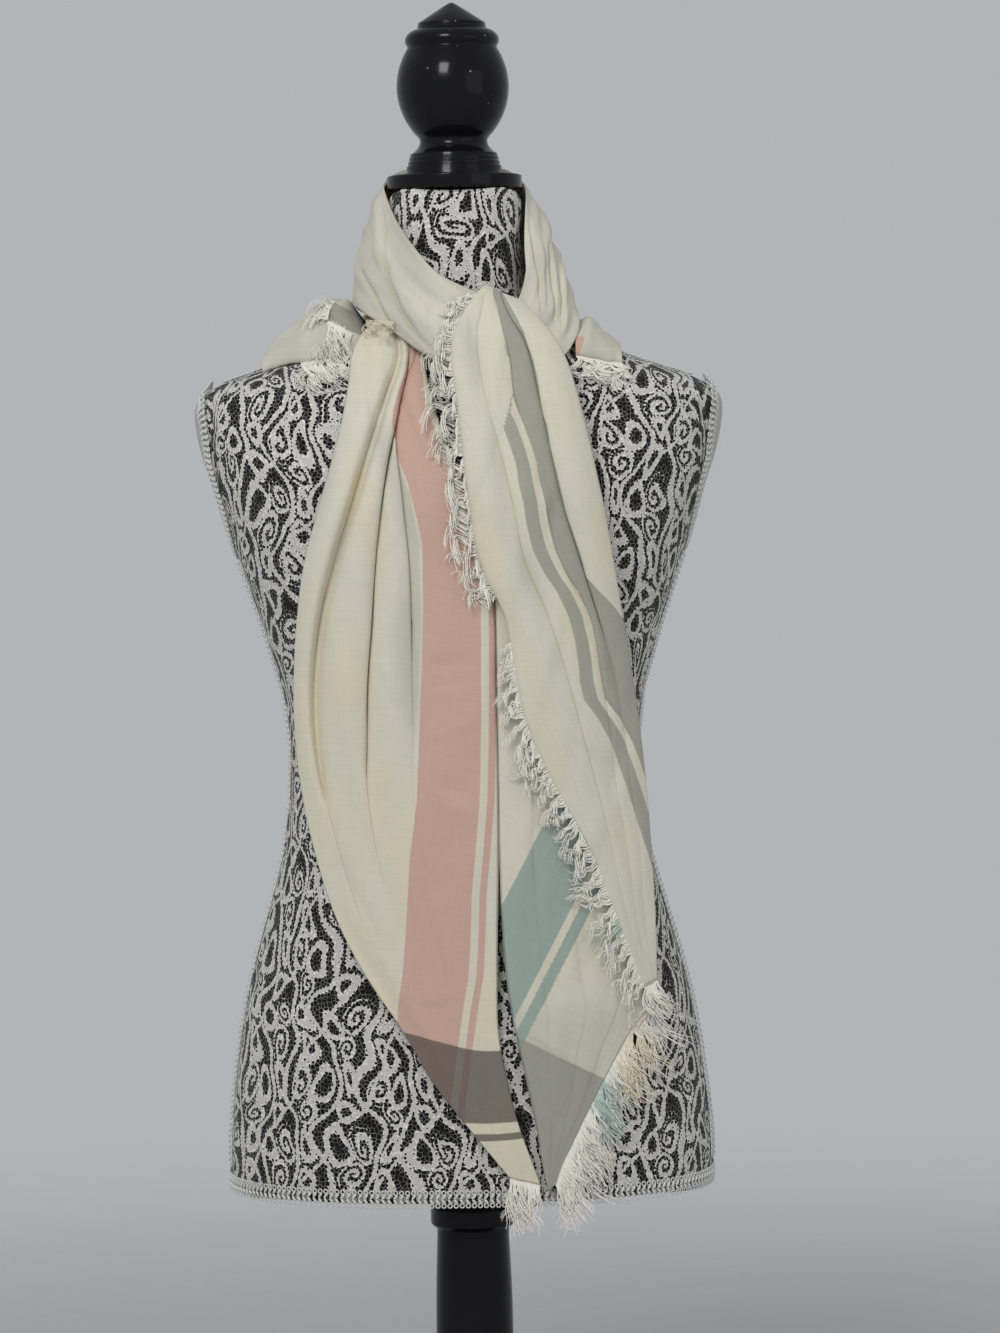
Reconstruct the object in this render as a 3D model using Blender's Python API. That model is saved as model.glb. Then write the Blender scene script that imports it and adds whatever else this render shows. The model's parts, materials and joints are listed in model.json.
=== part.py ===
"""A square scarf, folded corner to corner and half knotted round the neck of a dress form.

The dress form is a smooth limbless torso with a turned finial, on a turned column and a round base.
The cloth is built as thin walls: a roll behind the neck, two bands that cross in front, two tails,
a doubled layer, two shoulder folds and the corner that hangs down the back, each with its fringe.

Tables and named sizes are in millimetres, and mesh_object() writes them in metres. X runs to the
right as seen from the front, Y to the back and Z up, with the origin under the middle of the base.
"""

import math
from collections import namedtuple

import bmesh
import bpy
import numpy as np
from mathutils import Vector

MM = 0.001
SEAM = 0.3

WALL = 1.5
FORM_CLEARANCE = 0.5
FOLD_UNDER_LIFT = 1.1
FOLD_UNDER_INSET = 12.0
FOLD_UNDER_SHARE = 0.28
FOLD_TURN_SHARE = 0.4
RIGHT_TAIL_UNDER = 7.2
LEAST_FOLD = 2.5
MOST_FOLD = 4.0

FORM_SIDES = 36
FORM_POWER = 2.3
BASE_SIDES = 36
TURNED_SIDES = 20
SHARP_DEGREES = 40

FRINGE_THICK = 1.4
FRINGE_STRIP = 3.0
PROBE = 4.0

Section = namedtuple("Section", "z half_width front back")
FORM_SECTIONS = [
    Section(300, 174, 110, 110),
    Section(306, 177, 113, 113),
    Section(336, 177, 115, 117),
    Section(368, 174, 116, 119),
    Section(400, 170, 116, 120),
    Section(437, 164, 114, 118),
    Section(473, 155, 111, 113),
    Section(510, 144, 107, 105),
    Section(546, 134, 103, 96),
    Section(590, 128, 99, 86),
    Section(627, 127, 98, 81),
    Section(663, 131, 101, 81),
    Section(714, 146, 110, 88),
    Section(758, 161, 117, 95),
    Section(802, 176, 118, 99),
    Section(831, 187, 111, 98),
    Section(853, 192, 103, 95),
    Section(870, 194, 95, 92),
    Section(880, 190, 90, 89),
    Section(889, 174, 85, 85),
    Section(897, 150, 80, 81),
    Section(905, 126, 75, 77),
    Section(914, 98, 70, 71),
    Section(923, 74, 65, 65),
    Section(932, 60, 58, 59),
    Section(945, 52, 53, 53),
    Section(962, 49.5, 50, 50),
    Section(1020, 49, 49, 49),
    Section(1027, 47.5, 47.5, 47.5),
]

# How far the falling cloth stands from the middle of the form, in front and behind: it drops
# straight from the chest and the shoulder blades to the hips and bridges the waist.
FALL_SECTIONS = [
    Section(270, 178, 115, 116),
    Section(336, 179, 117, 119),
    Section(400, 176, 118, 120.5),
    Section(473, 173, 118, 117.0),
    Section(546, 172, 118.5, 113.0),
    Section(627, 172, 118.5, 108.6),
    Section(714, 173, 118.5, 104.0),
    Section(770, 176, 118.5, 101.2),
    Section(802, 181, 118.5, 99.5),
    Section(831, 189, 113, 98.5),
    Section(853, 193, 106, 97),
    Section(870, 197, 99, 95),
    Section(885, 187, 91, 90),
    Section(903, 150, 81, 82),
    Section(914, 138, 76, 76),
    Section(930, 120, 68, 68),
    Section(945, 115, 62, 62),
    Section(960, 110, 58, 58),
]

Turning = namedtuple("Turning", "radius z")
FINIAL_PROFILE = [
    Turning(46.0, 1027.3),
    Turning(49.0, 1028.5),
    Turning(49.0, 1035.5),
    Turning(47.0, 1037.5),
    Turning(35.0, 1038.5),
    Turning(35.0, 1045.0),
    Turning(32.5, 1048.0),
    Turning(31.5, 1056.0),
    Turning(26.0, 1060.0),
    Turning(24.0, 1064.0),
    Turning(29.0, 1070.0),
    Turning(36.5, 1082.0),
    Turning(40.5, 1096.0),
    Turning(40.5, 1109.0),
    Turning(37.5, 1121.0),
    Turning(32.0, 1130.0),
    Turning(31.5, 1133.0),
    Turning(34.0, 1136.0),
    Turning(33.0, 1141.0),
    Turning(26.0, 1146.0),
    Turning(23.0, 1149.0),
    Turning(13.0, 1156.0),
    Turning(4.0, 1162.5),
]
COLUMN_PROFILE = [
    Turning(40.0, 45.3),
    Turning(40.0, 56.0),
    Turning(33.0, 62.0),
    Turning(30.0, 72.0),
    Turning(28.0, 120.0),
    Turning(28.5, 200.0),
    Turning(26.5, 262.0),
    Turning(26.5, 268.0),
    Turning(31.0, 271.0),
    Turning(31.0, 284.0),
    Turning(28.0, 288.0),
    Turning(28.0, 299.7),
]
BASE_PROFILE = [
    Turning(146.0, 0.0),
    Turning(150.0, 4.0),
    Turning(150.0, 16.0),
    Turning(145.0, 22.0),
    Turning(120.0, 30.0),
    Turning(84.0, 37.0),
    Turning(60.0, 43.0),
    Turning(54.0, 45.0),
]

# A tail hangs as lobes between creases. Each row gives the height of its left and right ends, the
# lift of its creases off the fall line, the places of its edges and creases, and each lobe's puff.
Tail = namedtuple(
    "Tail", "z_left z_right lift left crease_1 crease_2 crease_3 right puff_1 puff_2 puff_3 puff_4"
)
LEFT_TAIL = [
    Tail(921, 914, 1.6, -66, -44, -36, -30, -24, 2, 2, 2, 1),
    Tail(909, 902, 3.6, -74, -40, -34, -29, -24, 5, 4, 2, 1),
    Tail(885, 881, 4.6, -77, -49, -38, -40, -19, 8, 7, 1, 5),
    Tail(850, 850, 4.6, -84, -60, -47, -44, -10, 9, 8, 2, 5),
    Tail(806, 806, 4.6, -97, -74, -55, -40, 9, 10, 11, 4, 4),
    Tail(760, 760, 4.6, -110, -89, -61, -36, 20, 11, 12, 4, 3),
    Tail(720, 720, 4.6, -116, -99, -64, -35, 24, 10, 12, 4, 3),
    Tail(680, 680, 4.6, -119, -104, -67, -35, 24, 8, 11, 4, 3),
    Tail(640, 640, 4.6, -119, -104, -68, -35, 24, 6, 9, 3, 3),
    Tail(600, 600, 4.6, -115, -99, -68, -36, 23, 4, 6, 3, 3),
    Tail(555, 555, 4.6, -106, -88, -62, -32, 23, 3, 4, 2, 3),
    Tail(510, 510, 4.6, -92, -74, -52, -26, 22, 2, 3, 2, 3),
    Tail(470, 470, 4.6, -72, -56, -38, -16, 21, 2, 2, 2, 3),
    Tail(430, 430, 4.6, -46, -34, -20, -4, 21, 2, 2, 2, 2),
    Tail(393, 396, 4.6, -25, -15, -4, 8, 26, 2, 2, 2, 2),
    Tail(357, 362, 4.4, 2, 9, 16, 24, 34, 1, 2, 2, 1),
    Tail(324, 318, 4.0, 28, 33, 38, 43, 49, 1, 1, 1, 1),
]
RIGHT_TAIL = [
    Tail(938, 938, -12.0, 30, 33, 36, 39, 42, 0, 0, 0, 0),
    Tail(947, 947, -6.0, 27, 31, 35, 39, 43, 0, 0, 0, 0),
    Tail(953, 953, 4.0, 24, 29, 34, 39, 44, 0, 0, 0, 0),
    Tail(955, 954, 15.0, 21, 26, 33, 40, 47, 1, 0, 1, 1),
    Tail(949, 948, 26.0, 15, 24, 36, 45, 55, 2, 1, 1, 2),
    Tail(938, 936, 32.0, 7, 25, 42, 51, 66, 3, 1, 2, 4),
    Tail(922, 920, 32.0, -2, 27, 48, 57, 78, 4, 1, 2, 6),
    Tail(902, 902, 28.0, -2, 31, 52, 64, 86, 4, 2, 2, 8),
    Tail(876, 876, 21.0, 1, 33, 54, 70, 94, 5, 2, 2, 9),
    Tail(846, 846, 15.0, 5, 40, 56, 76, 101, 6, 2, 2, 9),
    Tail(802, 802, 12.0, 10, 52, 66, 84, 105, 6, 3, 2, 8),
    Tail(760, 760, 11.5, 15, 62, 76, 91, 110, 6, 4, 2, 8),
    Tail(720, 720, 11.5, 27, 78, 88, 98, 114, 6, 4, 2, 6),
    Tail(680, 680, 11.5, 34, 88, 97, 106, 119, 5, 4, 3, 4),
    Tail(640, 640, 11.0, 47, 92, 102, 112, 123, 4, 3, 3, 3),
    Tail(600, 600, 10.5, 63, 94, 105, 115, 127, 3, 2, 3, 2),
    Tail(555, 555, 10.5, 83, 100, 112, 121, 131, 2, 2, 2, 2),
    Tail(508, 510, 10.5, 107, 114, 120, 126, 133, 2, 2, 1, 1),
    Tail(456, 460, 10.0, 126, 128, 130, 132, 134, 1, 1, 1, 0),
]
RIGHT_UNDER = [
    Tail(742, 742, 3.6, 29, 46, 64, 84, 101, 1, 1, 1, 1),
    Tail(720, 720, 4.2, 27, 46, 66, 86, 105, 1, 1, 1, 1),
    Tail(680, 680, 4.6, 27, 46, 68, 90, 110, 2, 1, 1, 1),
    Tail(640, 640, 4.6, 26, 46, 70, 93, 114, 2, 1, 1, 1),
    Tail(600, 600, 4.6, 26, 48, 72, 96, 117, 2, 1, 1, 1),
    Tail(555, 555, 4.6, 25, 48, 74, 99, 121, 2, 1, 1, 1),
    Tail(510, 510, 4.6, 25, 50, 76, 101, 123, 2, 1, 1, 1),
    Tail(466, 474, 4.6, 28, 53, 79, 104, 126, 2, 1, 1, 1),
    Tail(432, 447, 4.6, 33, 57, 83, 106, 130, 2, 1, 1, 0),
    Tail(397, 420, 4.6, 40, 56, 76, 94, 112, 1, 1, 1, 0),
    Tail(361, 385, 4.6, 47, 58, 70, 81, 92, 1, 1, 1, 0),
    Tail(328, 340, 4.2, 52, 56, 60, 64, 69, 1, 0, 0, 0),
    Tail(314, 318, 4.0, 55, 56, 57, 58, 60, 0, 0, 0, 0),
]
LOBE_COLUMNS = 4

# A neck band runs between an inner rail near the neck and an outer rail on the shoulder.
Band = namedtuple("Band", "in_x in_y in_z out_x out_y out_z bulge")
BAND_LEFT = [
    Band(-50.6, 8, 1034, -74, 8, 948, 9),
    Band(-49.6, -15, 1024, -74, -28, 946, 10),
    Band(-42.0, -36, 1004, -65, -57, 938, 10),
    Band(-30.0, -53, 985, -45, -80, 925, 9),
    Band(-14.0, -64, 966, -26, -95, 911, 8),
    Band(4.0, -69, 956, -8, -102, 903, 6),
    Band(22.0, -71, 948, 8, -101, 901, 4),
]
BAND_BACK = [
    Band(-50.6, 8, 1034, -74, 8, 948, 9),
    Band(-43.6, 27, 1041, -71, 39, 942, 10),
    Band(-25.0, 44, 1047, -44, 70, 934, 11),
    Band(0.0, 50.6, 1048, 0, 84, 930, 12),
    Band(25.0, 44, 1046, 45, 70, 933, 11),
    Band(43.6, 27, 1040, 75, 38, 940, 10),
    Band(50.6, 8, 1030, 85, 8, 944, 8),
]
BAND_RIGHT = [
    Band(50.6, 8, 1030, 85, 8, 944, 8),
    Band(51.0, -13, 1014, 88, -22, 938, 8),
    Band(51.0, -36, 987, 86, -52, 921, 7),
    Band(50.0, -52, 964, 76, -76, 905, 6),
    Band(43.0, -63, 943, 58, -88, 897, 4),
    Band(25.0, -66, 934, 36, -93, 895, 3),
    Band(5.0, -70, 925, 10, -94, 894, 3),
    Band(-16.0, -73, 919, -18, -92, 894, 2),
]
Pleat = namedtuple("Pleat", "across height width")
PLEATS_LEFT = [
    Pleat(0.16, 1.6, 0.07),
    Pleat(0.38, 3.4, 0.10),
    Pleat(0.66, 3.0, 0.09),
    Pleat(0.88, 2.0, 0.07),
]
PLEATS_BACK = [
    Pleat(0.2, 2.6, 0.08),
    Pleat(0.45, 3.6, 0.09),
    Pleat(0.72, 3.2, 0.09),
]
PLEATS_RIGHT = [
    Pleat(0.22, 2.6, 0.07),
    Pleat(0.42, 2.4, 0.06),
    Pleat(0.62, 2.8, 0.07),
    Pleat(0.82, 2.4, 0.06),
]
BAND_COLUMNS = 14
BAND_ROWS = 13
PLEAT_FADE = 2.5
ROLLED_EDGE = 5.0
FOOT_ROLL_IN = 4.0
FOOT_ROLL_DOWN = 2.0

# A shoulder fold arches over the ridge of the shoulder, from its front edge to its back edge.
Arch = namedtuple("Arch", "x top front_z back_z front_lift")
SHOULDER_LEFT = [
    Arch(-140, 912, 897, 891, 2.6),
    Arch(-132, 922, 900, 885, 2.6),
    Arch(-120, 932, 903, 880, 2.4),
    Arch(-106, 941, 904, 880, 2.4),
    Arch(-92, 949, 906, 882, 2.4),
    Arch(-81, 950, 908, 886, 2.4),
    Arch(-73, 941, 910, 892, 2.4),
    Arch(-68, 934, 912, 900, 2.4),
]
SHOULDER_RIGHT = [
    Arch(91, 932, 904, 888, 2.0),
    Arch(95, 934, 903, 884, 2.0),
    Arch(101, 931, 902, 882, 2.0),
    Arch(108, 924, 900, 884, 2.0),
    Arch(114, 918, 900, 888, 2.0),
    Arch(118, 914, 899, 892, 2.0),
]
ARCH_COLUMNS = 10
ARCH_BACK_LIFT = 9.0
ARCH_ROUNDNESS = 0.8

# The corner down the back: heights at its left end, its middle and its right end, and its edges.
Fall = namedtuple("Fall", "z_left z_middle z_right lift left right")
BACK_FALL = [
    Fall(897, 930, 896, 3.6, -128, 108),
    Fall(880, 900, 878, 2.4, -130, 110),
    Fall(850, 862, 850, 2.6, -126, 108),
    Fall(810, 814, 810, 2.6, -118, 104),
    Fall(760, 760, 760, 3.0, -107, 97),
    Fall(700, 700, 700, 3.0, -93, 86),
    Fall(640, 640, 640, 3.0, -79, 74),
    Fall(580, 580, 580, 3.0, -64, 61),
    Fall(520, 520, 520, 3.0, -49, 48),
    Fall(460, 460, 460, 3.0, -34, 34),
    Fall(400, 400, 400, 3.0, -19, 20),
    Fall(352, 350, 352, 3.0, -6, 8),
]
Furrow = namedtuple("Furrow", "across_top across_foot height width z_top z_foot")
BACK_FOLDS = [
    Furrow(0.12, 0.16, 7, 0.060, 905, 560),
    Furrow(0.29, 0.30, 10, 0.055, 925, 470),
    Furrow(0.44, 0.42, 8, 0.050, 930, 620),
    Furrow(0.57, 0.56, 11, 0.055, 930, 440),
    Furrow(0.73, 0.71, 8, 0.055, 925, 540),
    Furrow(0.89, 0.86, 6, 0.055, 905, 600),
]
FOLD_SOFTNESS = 0.7
BACK_COLUMNS = 25
BACK_ROWS = 15

# A fringe hangs from a narrow strip beside a raw edge: the number of its locks, their length, how
# far each one falls, how much neighbours swing apart, and the way off the edge as seen from the front.
Fringe = namedtuple("Fringe", "locks length fall swing lean_x lean_z")
FRINGE_RIGHT_TAIL = Fringe(46, 26.0, 10.0, 5.0, -0.86, -0.50)
FRINGE_RIGHT_UNDER = Fringe(17, 27.0, 8.0, 4.0, 0.82, -0.57)
FRINGE_LEFT_TIP = Fringe(4, 30.0, 6.0, 2.0, -0.25, -0.97)
FRINGE_SHOULDER_LEFT = Fringe(8, 20.0, 3.0, 3.0, -0.20, -0.98)
FRINGE_SHOULDER_RIGHT = Fringe(8, 20.0, 3.0, 3.0, 0.20, -0.98)
FRINGE_BACK_LEFT = Fringe(26, 27.0, 11.0, 4.0, -0.85, -0.53)
FRINGE_BACK_RIGHT = Fringe(26, 27.0, 11.0, 4.0, 0.85, -0.53)

LOCK_SWING_TURN = 2.399
LOCK_LENGTH_TURN = 1.7
LOCK_LENGTH_SPREAD = 0.14
LOCK_CURL = 0.12
LOCK_FALL_POWER = 1.6
LOCK_THINNING = 0.3
LockRing = namedtuple("LockRing", "share shrink")
LOCK_RINGS = [LockRing(0.5, 0.8), LockRing(1.0, 0.35)]

# Which of the evenly read rows of each table have a raw edge.
RIGHT_TAIL_READ = 40
RIGHT_TAIL_RAW = slice(10, None)
RIGHT_UNDER_READ = 37
RIGHT_UNDER_RAW = slice(24, None)
LEFT_FOLD_READ = 22
LEFT_FOLD_RAW = slice(8, 19)
RIGHT_FOLD_READ = 12
BACK_READ = 36
BACK_RAW = slice(2, None)
BACK_READ_COLUMNS = 9


def clear_scene():
    """Remove whatever the startup scene holds."""
    for obj in list(bpy.data.objects):
        bpy.data.objects.remove(obj, do_unlink=True)


def material(name, colour, roughness):
    """A Principled material of one colour."""
    made = bpy.data.materials.new(name)
    made.use_nodes = True
    shader = made.node_tree.nodes["Principled BSDF"]
    shader.inputs["Base Color"].default_value = (*colour, 1.0)
    shader.inputs["Roughness"].default_value = roughness
    return made


def mesh_object(name, points, faces, finish):
    """Make one object from points in millimetres, with its faces turned outwards."""
    mesh = bpy.data.meshes.new(name)
    mesh.from_pydata([Vector(p) * MM for p in points], [], faces)
    shape = bmesh.new()
    shape.from_mesh(mesh)
    bmesh.ops.triangulate(shape, faces=[f for f in shape.faces if len(f.verts) > 3])
    bmesh.ops.recalc_face_normals(shape, faces=shape.faces)
    shape.to_mesh(mesh)
    shape.free()
    mesh.materials.append(finish)
    mesh.shade_smooth()
    mesh.set_sharp_from_angle(angle=math.radians(SHARP_DEGREES))
    obj = bpy.data.objects.new(name, mesh)
    bpy.context.scene.collection.objects.link(obj)
    return obj


def section_at(sections, z):
    """Half width, front depth and back depth of a table of sections at height z."""
    heights = [row.z for row in sections]
    return [
        float(np.interp(z, heights, [getattr(row, column) for row in sections]))
        for column in ("half_width", "front", "back")
    ]


def outline_depth(sections, x, z, behind):
    """Depth of a rounded section at x, measured from its middle plane."""
    half_width, front, back = section_at(sections, z)
    share = min(abs(x) / half_width, 1.0)
    return (back if behind else front) * (1.0 - share**FORM_POWER) ** (1.0 / FORM_POWER)


def fall_depth(x, z, behind=False):
    """Depth of the line that hanging cloth follows: never nearer than the form itself."""
    on_form = outline_depth(FORM_SECTIONS, x, z, behind) + FORM_CLEARANCE
    return max(on_form, outline_depth(FALL_SECTIONS, x, z, behind))


def on_form(x, z, lift, behind=False):
    """The point at x and z that stands lift off the form."""
    depth = outline_depth(FORM_SECTIONS, x, z, behind) + lift
    return Vector((x, depth if behind else -depth, z))


def on_fall(x, z, lift, behind=False):
    """The point at x and z that stands lift off the fall line."""
    depth = fall_depth(x, z, behind) + lift
    return Vector((x, depth if behind else -depth, z))


def row_between(rows, place):
    """A row at a fractional place in a table, on a smooth curve through its rows."""
    last = len(rows) - 1
    index = min(int(place), last - 1)
    t = place - index
    before, start = rows[max(index - 1, 0)], rows[index]
    end, after = rows[index + 1], rows[min(index + 2, last)]
    smooth = [
        b + 0.5 * t * (c - a + t * (2 * a - 5 * b + 4 * c - d + t * (3 * (b - c) + d - a)))
        for a, b, c, d in zip(before, start, end, after)
    ]
    return type(start)(*smooth)


def rows_of(rows, count):
    """A table read at an even number of places."""
    return [row_between(rows, place) for place in np.linspace(0, len(rows) - 1, count)]


def wall_from_grid(grid, wall=WALL):
    """Points and faces of a closed wall round a grid of middle points, one list for each row."""
    rows, columns = len(grid), len(grid[0])
    outer, inner = [], []
    for r in range(rows):
        for c in range(columns):
            down = grid[min(r + 1, rows - 1)][c] - grid[max(r - 1, 0)][c]
            across = grid[r][min(c + 1, columns - 1)] - grid[r][max(c - 1, 0)]
            step = across.cross(down).normalized() * (wall / 2)
            outer.append(grid[r][c] + step)
            inner.append(grid[r][c] - step)
    size = rows * columns
    faces = []
    for r in range(rows - 1):
        for c in range(columns - 1):
            at = r * columns + c
            below = at + columns
            faces.append((at, at + 1, below + 1, below))
            faces.append((size + below, size + below + 1, size + at + 1, size + at))
    for r in range(rows - 1):
        for c in (0, columns - 1):
            at = r * columns + c
            faces.append((at, at + columns, size + at + columns, size + at))
    for c in range(columns - 1):
        for r in (0, rows - 1):
            at = r * columns + c
            faces.append((at, at + 1, size + at + 1, size + at))
    return outer + inner, faces


def lathe(name, profile, sides, finish):
    """A solid turned about the upright axis from a list of radii and heights."""
    points = []
    for step in profile:
        for side in range(sides):
            angle = 2 * math.pi * side / sides
            points.append((step.radius * math.cos(angle), step.radius * math.sin(angle), step.z))
    faces = ring_faces(len(profile), sides)
    return mesh_object(name, points, faces, finish)


def ring_faces(rings, sides):
    """Faces of a stack of closed rings, with a cap at each end."""
    faces = [tuple(range(sides)), tuple(range((rings - 1) * sides, rings * sides))]
    for ring in range(rings - 1):
        for side in range(sides):
            here, beside = ring * sides + side, ring * sides + (side + 1) % sides
            faces.append((here, beside, beside + sides, here + sides))
    return faces


def build_form(finish):
    """The smooth limbless torso."""
    points = []
    for row in FORM_SECTIONS:
        for side in range(FORM_SIDES):
            angle = 2 * math.pi * side / FORM_SIDES
            cosine, sine = math.cos(angle), math.sin(angle)
            reach = abs(cosine) ** (2 / FORM_POWER)
            depth = abs(sine) ** (2 / FORM_POWER) * (row.back if sine > 0 else row.front)
            x = math.copysign(reach, cosine) * row.half_width
            points.append((x, math.copysign(depth, sine), row.z))
    return mesh_object("form_torso", points, ring_faces(len(FORM_SECTIONS), FORM_SIDES), finish)


def lobes_across(row):
    """Places and lifts across a tail: arched lobes that meet in creases."""
    edges = [row.left, row.crease_1, row.crease_2, row.crease_3, row.right]
    puffs = [row.puff_1, row.puff_2, row.puff_3, row.puff_4]
    across = []
    for lobe, puff in enumerate(puffs):
        for step in range(LOBE_COLUMNS):
            share = step / LOBE_COLUMNS
            x = edges[lobe] + share * (edges[lobe + 1] - edges[lobe])
            across.append((x, row.lift + puff * math.sin(math.pi * share)))
    across.append((row.right, row.lift))
    return across


def folded_edge(x, lift, width, side, under):
    """The three points of cloth that turns under at a folded edge, from the hidden end outwards."""
    inset = min(FOLD_UNDER_INSET, FOLD_UNDER_SHARE * width)
    return [
        (x - side * inset, under),
        (x - side * (lift - under) * FOLD_TURN_SHARE, under),
        (x, (lift + under) / 2),
    ]


def tail_grid(rows, fold_left, under):
    """Middle points of a hanging tail, with its folded edges turned under."""
    grid = []
    for row in rows:
        width = row.right - row.left
        across = lobes_across(row)
        low = min(max(under, row.lift - MOST_FOLD), row.lift - LEAST_FOLD)
        if fold_left:
            across[0] = (row.left + (row.lift - low) * FOLD_TURN_SHARE, row.lift)
            across = folded_edge(row.left, row.lift, width, -1, low) + across
        across[-1] = (row.right - (row.lift - low) * FOLD_TURN_SHARE, row.lift)
        across = across + folded_edge(row.right, row.lift, width, 1, low)[::-1]
        line = []
        for x, lift in across:
            share = min(max((x - row.left) / width, 0.0), 1.0)
            z = row.z_left + share * (row.z_right - row.z_left)
            line.append(on_fall(x, z, lift))
        grid.append(line)
    return grid


def build_tail(name, rows, finish, fold_left=True, under=FOLD_UNDER_LIFT):
    """One hanging tail of doubled cloth."""
    points, faces = wall_from_grid(tail_grid(rows, fold_left, under))
    return mesh_object(name, points, faces, finish)


def pleat_relief(pleats, across):
    """Height of the pleats at a share of a band's width."""
    return sum(p.height * math.exp(-(((across - p.across) / p.width) ** 2)) for p in pleats)


def band_point(row, across, pleats):
    """A point on a neck band, arched away from the neck between its rails."""
    inner, outer = Vector((row.in_x, row.in_y, row.in_z)), Vector((row.out_x, row.out_y, row.out_z))
    chord = (outer - inner).normalized()
    middle = (inner + outer) / 2
    away = Vector((middle.x, middle.y, 0.0)).normalized()
    away = (away - chord * away.dot(chord)).normalized()
    arch = 4 * across * (1 - across)
    height = row.bulge * arch + pleat_relief(pleats, across) * min(1.0, PLEAT_FADE * arch)
    return inner.lerp(outer, across) + away * height


def band_grid(rows, pleats):
    """Middle points of a neck band, with both rims rolled in."""
    grid = []
    for row in rows:
        line = [band_point(row, c / (BAND_COLUMNS - 1), pleats) for c in range(BAND_COLUMNS)]
        inwards = Vector((-row.out_x, -row.out_y, 0.0)).normalized()
        top_turn = line[0] - Vector((0.0, 0.0, ROLLED_EDGE))
        foot_turn = line[-1] + inwards * FOOT_ROLL_IN - Vector((0.0, 0.0, FOOT_ROLL_DOWN))
        grid.append([top_turn] + line + [foot_turn])
    return grid


def build_band(name, table, pleats, finish, start_gap=0.0, end_gap=0.0):
    """One stretch of the loop round the neck, cut short by half a seam at a joined end."""
    rows = rows_of(table, BAND_ROWS)
    grid = band_grid(rows, pleats)
    for end, beside, gap in ((0, 1, start_gap), (-1, -2, end_gap)):
        for column, point in enumerate(grid[end]):
            grid[end][column] = point + (grid[beside][column] - point).normalized() * gap
    points, faces = wall_from_grid(grid)
    return mesh_object(name, points, faces, finish)


def arch_line(row):
    """Middle points of a shoulder fold from its front edge, over the shoulder, to its back edge."""
    front = on_form(row.x, row.front_z, row.front_lift)
    back = on_fall(row.x, row.back_z, ARCH_BACK_LIFT, behind=True)
    line = []
    for step in range(ARCH_COLUMNS + 1):
        turn = math.pi * step / ARCH_COLUMNS
        foot = front.lerp(back, (1 - math.cos(turn)) / 2)
        rise = (row.top - foot.z) * math.sin(turn) ** ARCH_ROUNDNESS
        line.append(foot + Vector((0.0, 0.0, rise)))
    return line


def build_shoulder(name, table, finish):
    """A fold of cloth that arches over one shoulder."""
    points, faces = wall_from_grid([arch_line(row) for row in table])
    return mesh_object(name, points, faces, finish)


def back_relief(across, z):
    """Height of the soft folds down the back at a share of the width and a height."""
    height = 0.0
    for fold in BACK_FOLDS:
        down = (fold.z_top - z) / (fold.z_top - fold.z_foot)
        if not 0.0 < down < 1.0:
            continue
        centre = fold.across_top + down * (fold.across_foot - fold.across_top)
        fade = math.sin(math.pi * down**FOLD_SOFTNESS) ** FOLD_SOFTNESS
        height += fold.height * fade * math.exp(-(((across - centre) / fold.width) ** 2))
    return height


def back_line(row, columns):
    """Middle points across the back corner at one height."""
    line = []
    for column in range(columns):
        share = column / (columns - 1)
        x = row.left + share * (row.right - row.left)
        edge_z = row.z_left + share * (row.z_right - row.z_left)
        middle_rise = row.z_middle - (row.z_left + row.z_right) / 2
        z = edge_z + middle_rise * (1 - (2 * share - 1) ** 2)
        line.append(on_fall(x, z, row.lift + back_relief(share, z), behind=True))
    return line


def build_back(finish):
    """The corner of the scarf that hangs down the back."""
    rows = rows_of(BACK_FALL, BACK_ROWS)
    points, faces = wall_from_grid([back_line(row, BACK_COLUMNS) for row in rows])
    return mesh_object("scarf_back", points, faces, finish)


def even_line(points, count):
    """A polyline read at evenly spaced places."""
    lengths = [0.0]
    for a, b in zip(points, points[1:]):
        lengths.append(lengths[-1] + (b - a).length)
    places = np.linspace(0.0, lengths[-1], count)
    columns = [np.interp(places, lengths, [p[axis] for p in points]) for axis in range(3)]
    return [Vector(p) for p in zip(*columns)]


def build_fringe(name, edge, surface, fringe, finish, behind=False):
    """Locks of fringe fused into a narrow strip that lies one seam beyond a raw edge."""
    out_of = edge_frame(surface, fringe, behind)
    line = even_line(edge, 2 * fringe.locks + 2)
    offset = SEAM + WALL / 2 + FRINGE_STRIP / 2
    points, faces = [], []
    for centre in line:
        away, raised = out_of(centre)
        centre = centre + away * offset
        for side, rise in ((-1, -1), (1, -1), (1, 1), (-1, 1)):
            points.append(centre + away * side * FRINGE_STRIP / 2 + raised * rise * FRINGE_THICK / 2)
    last = len(line) - 1
    faces.append((0, 1, 2, 3))
    faces.append((4 * last, 4 * last + 1, 4 * last + 2, 4 * last + 3))
    for span in range(last):
        here, there = 4 * span, 4 * span + 4
        for a, b in ((0, 1), (2, 3), (3, 0)):
            faces.append((here + a, here + b, there + b, there + a))
        root = (here + 1, here + 2, there + 2, there + 1)
        if span % 2 == 0:
            faces.append(root)
            continue
        add_lock(points, faces, root, (line[span] + line[span + 1]) / 2, out_of, fringe, span)
    return mesh_object(name, points, faces, finish)


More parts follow.
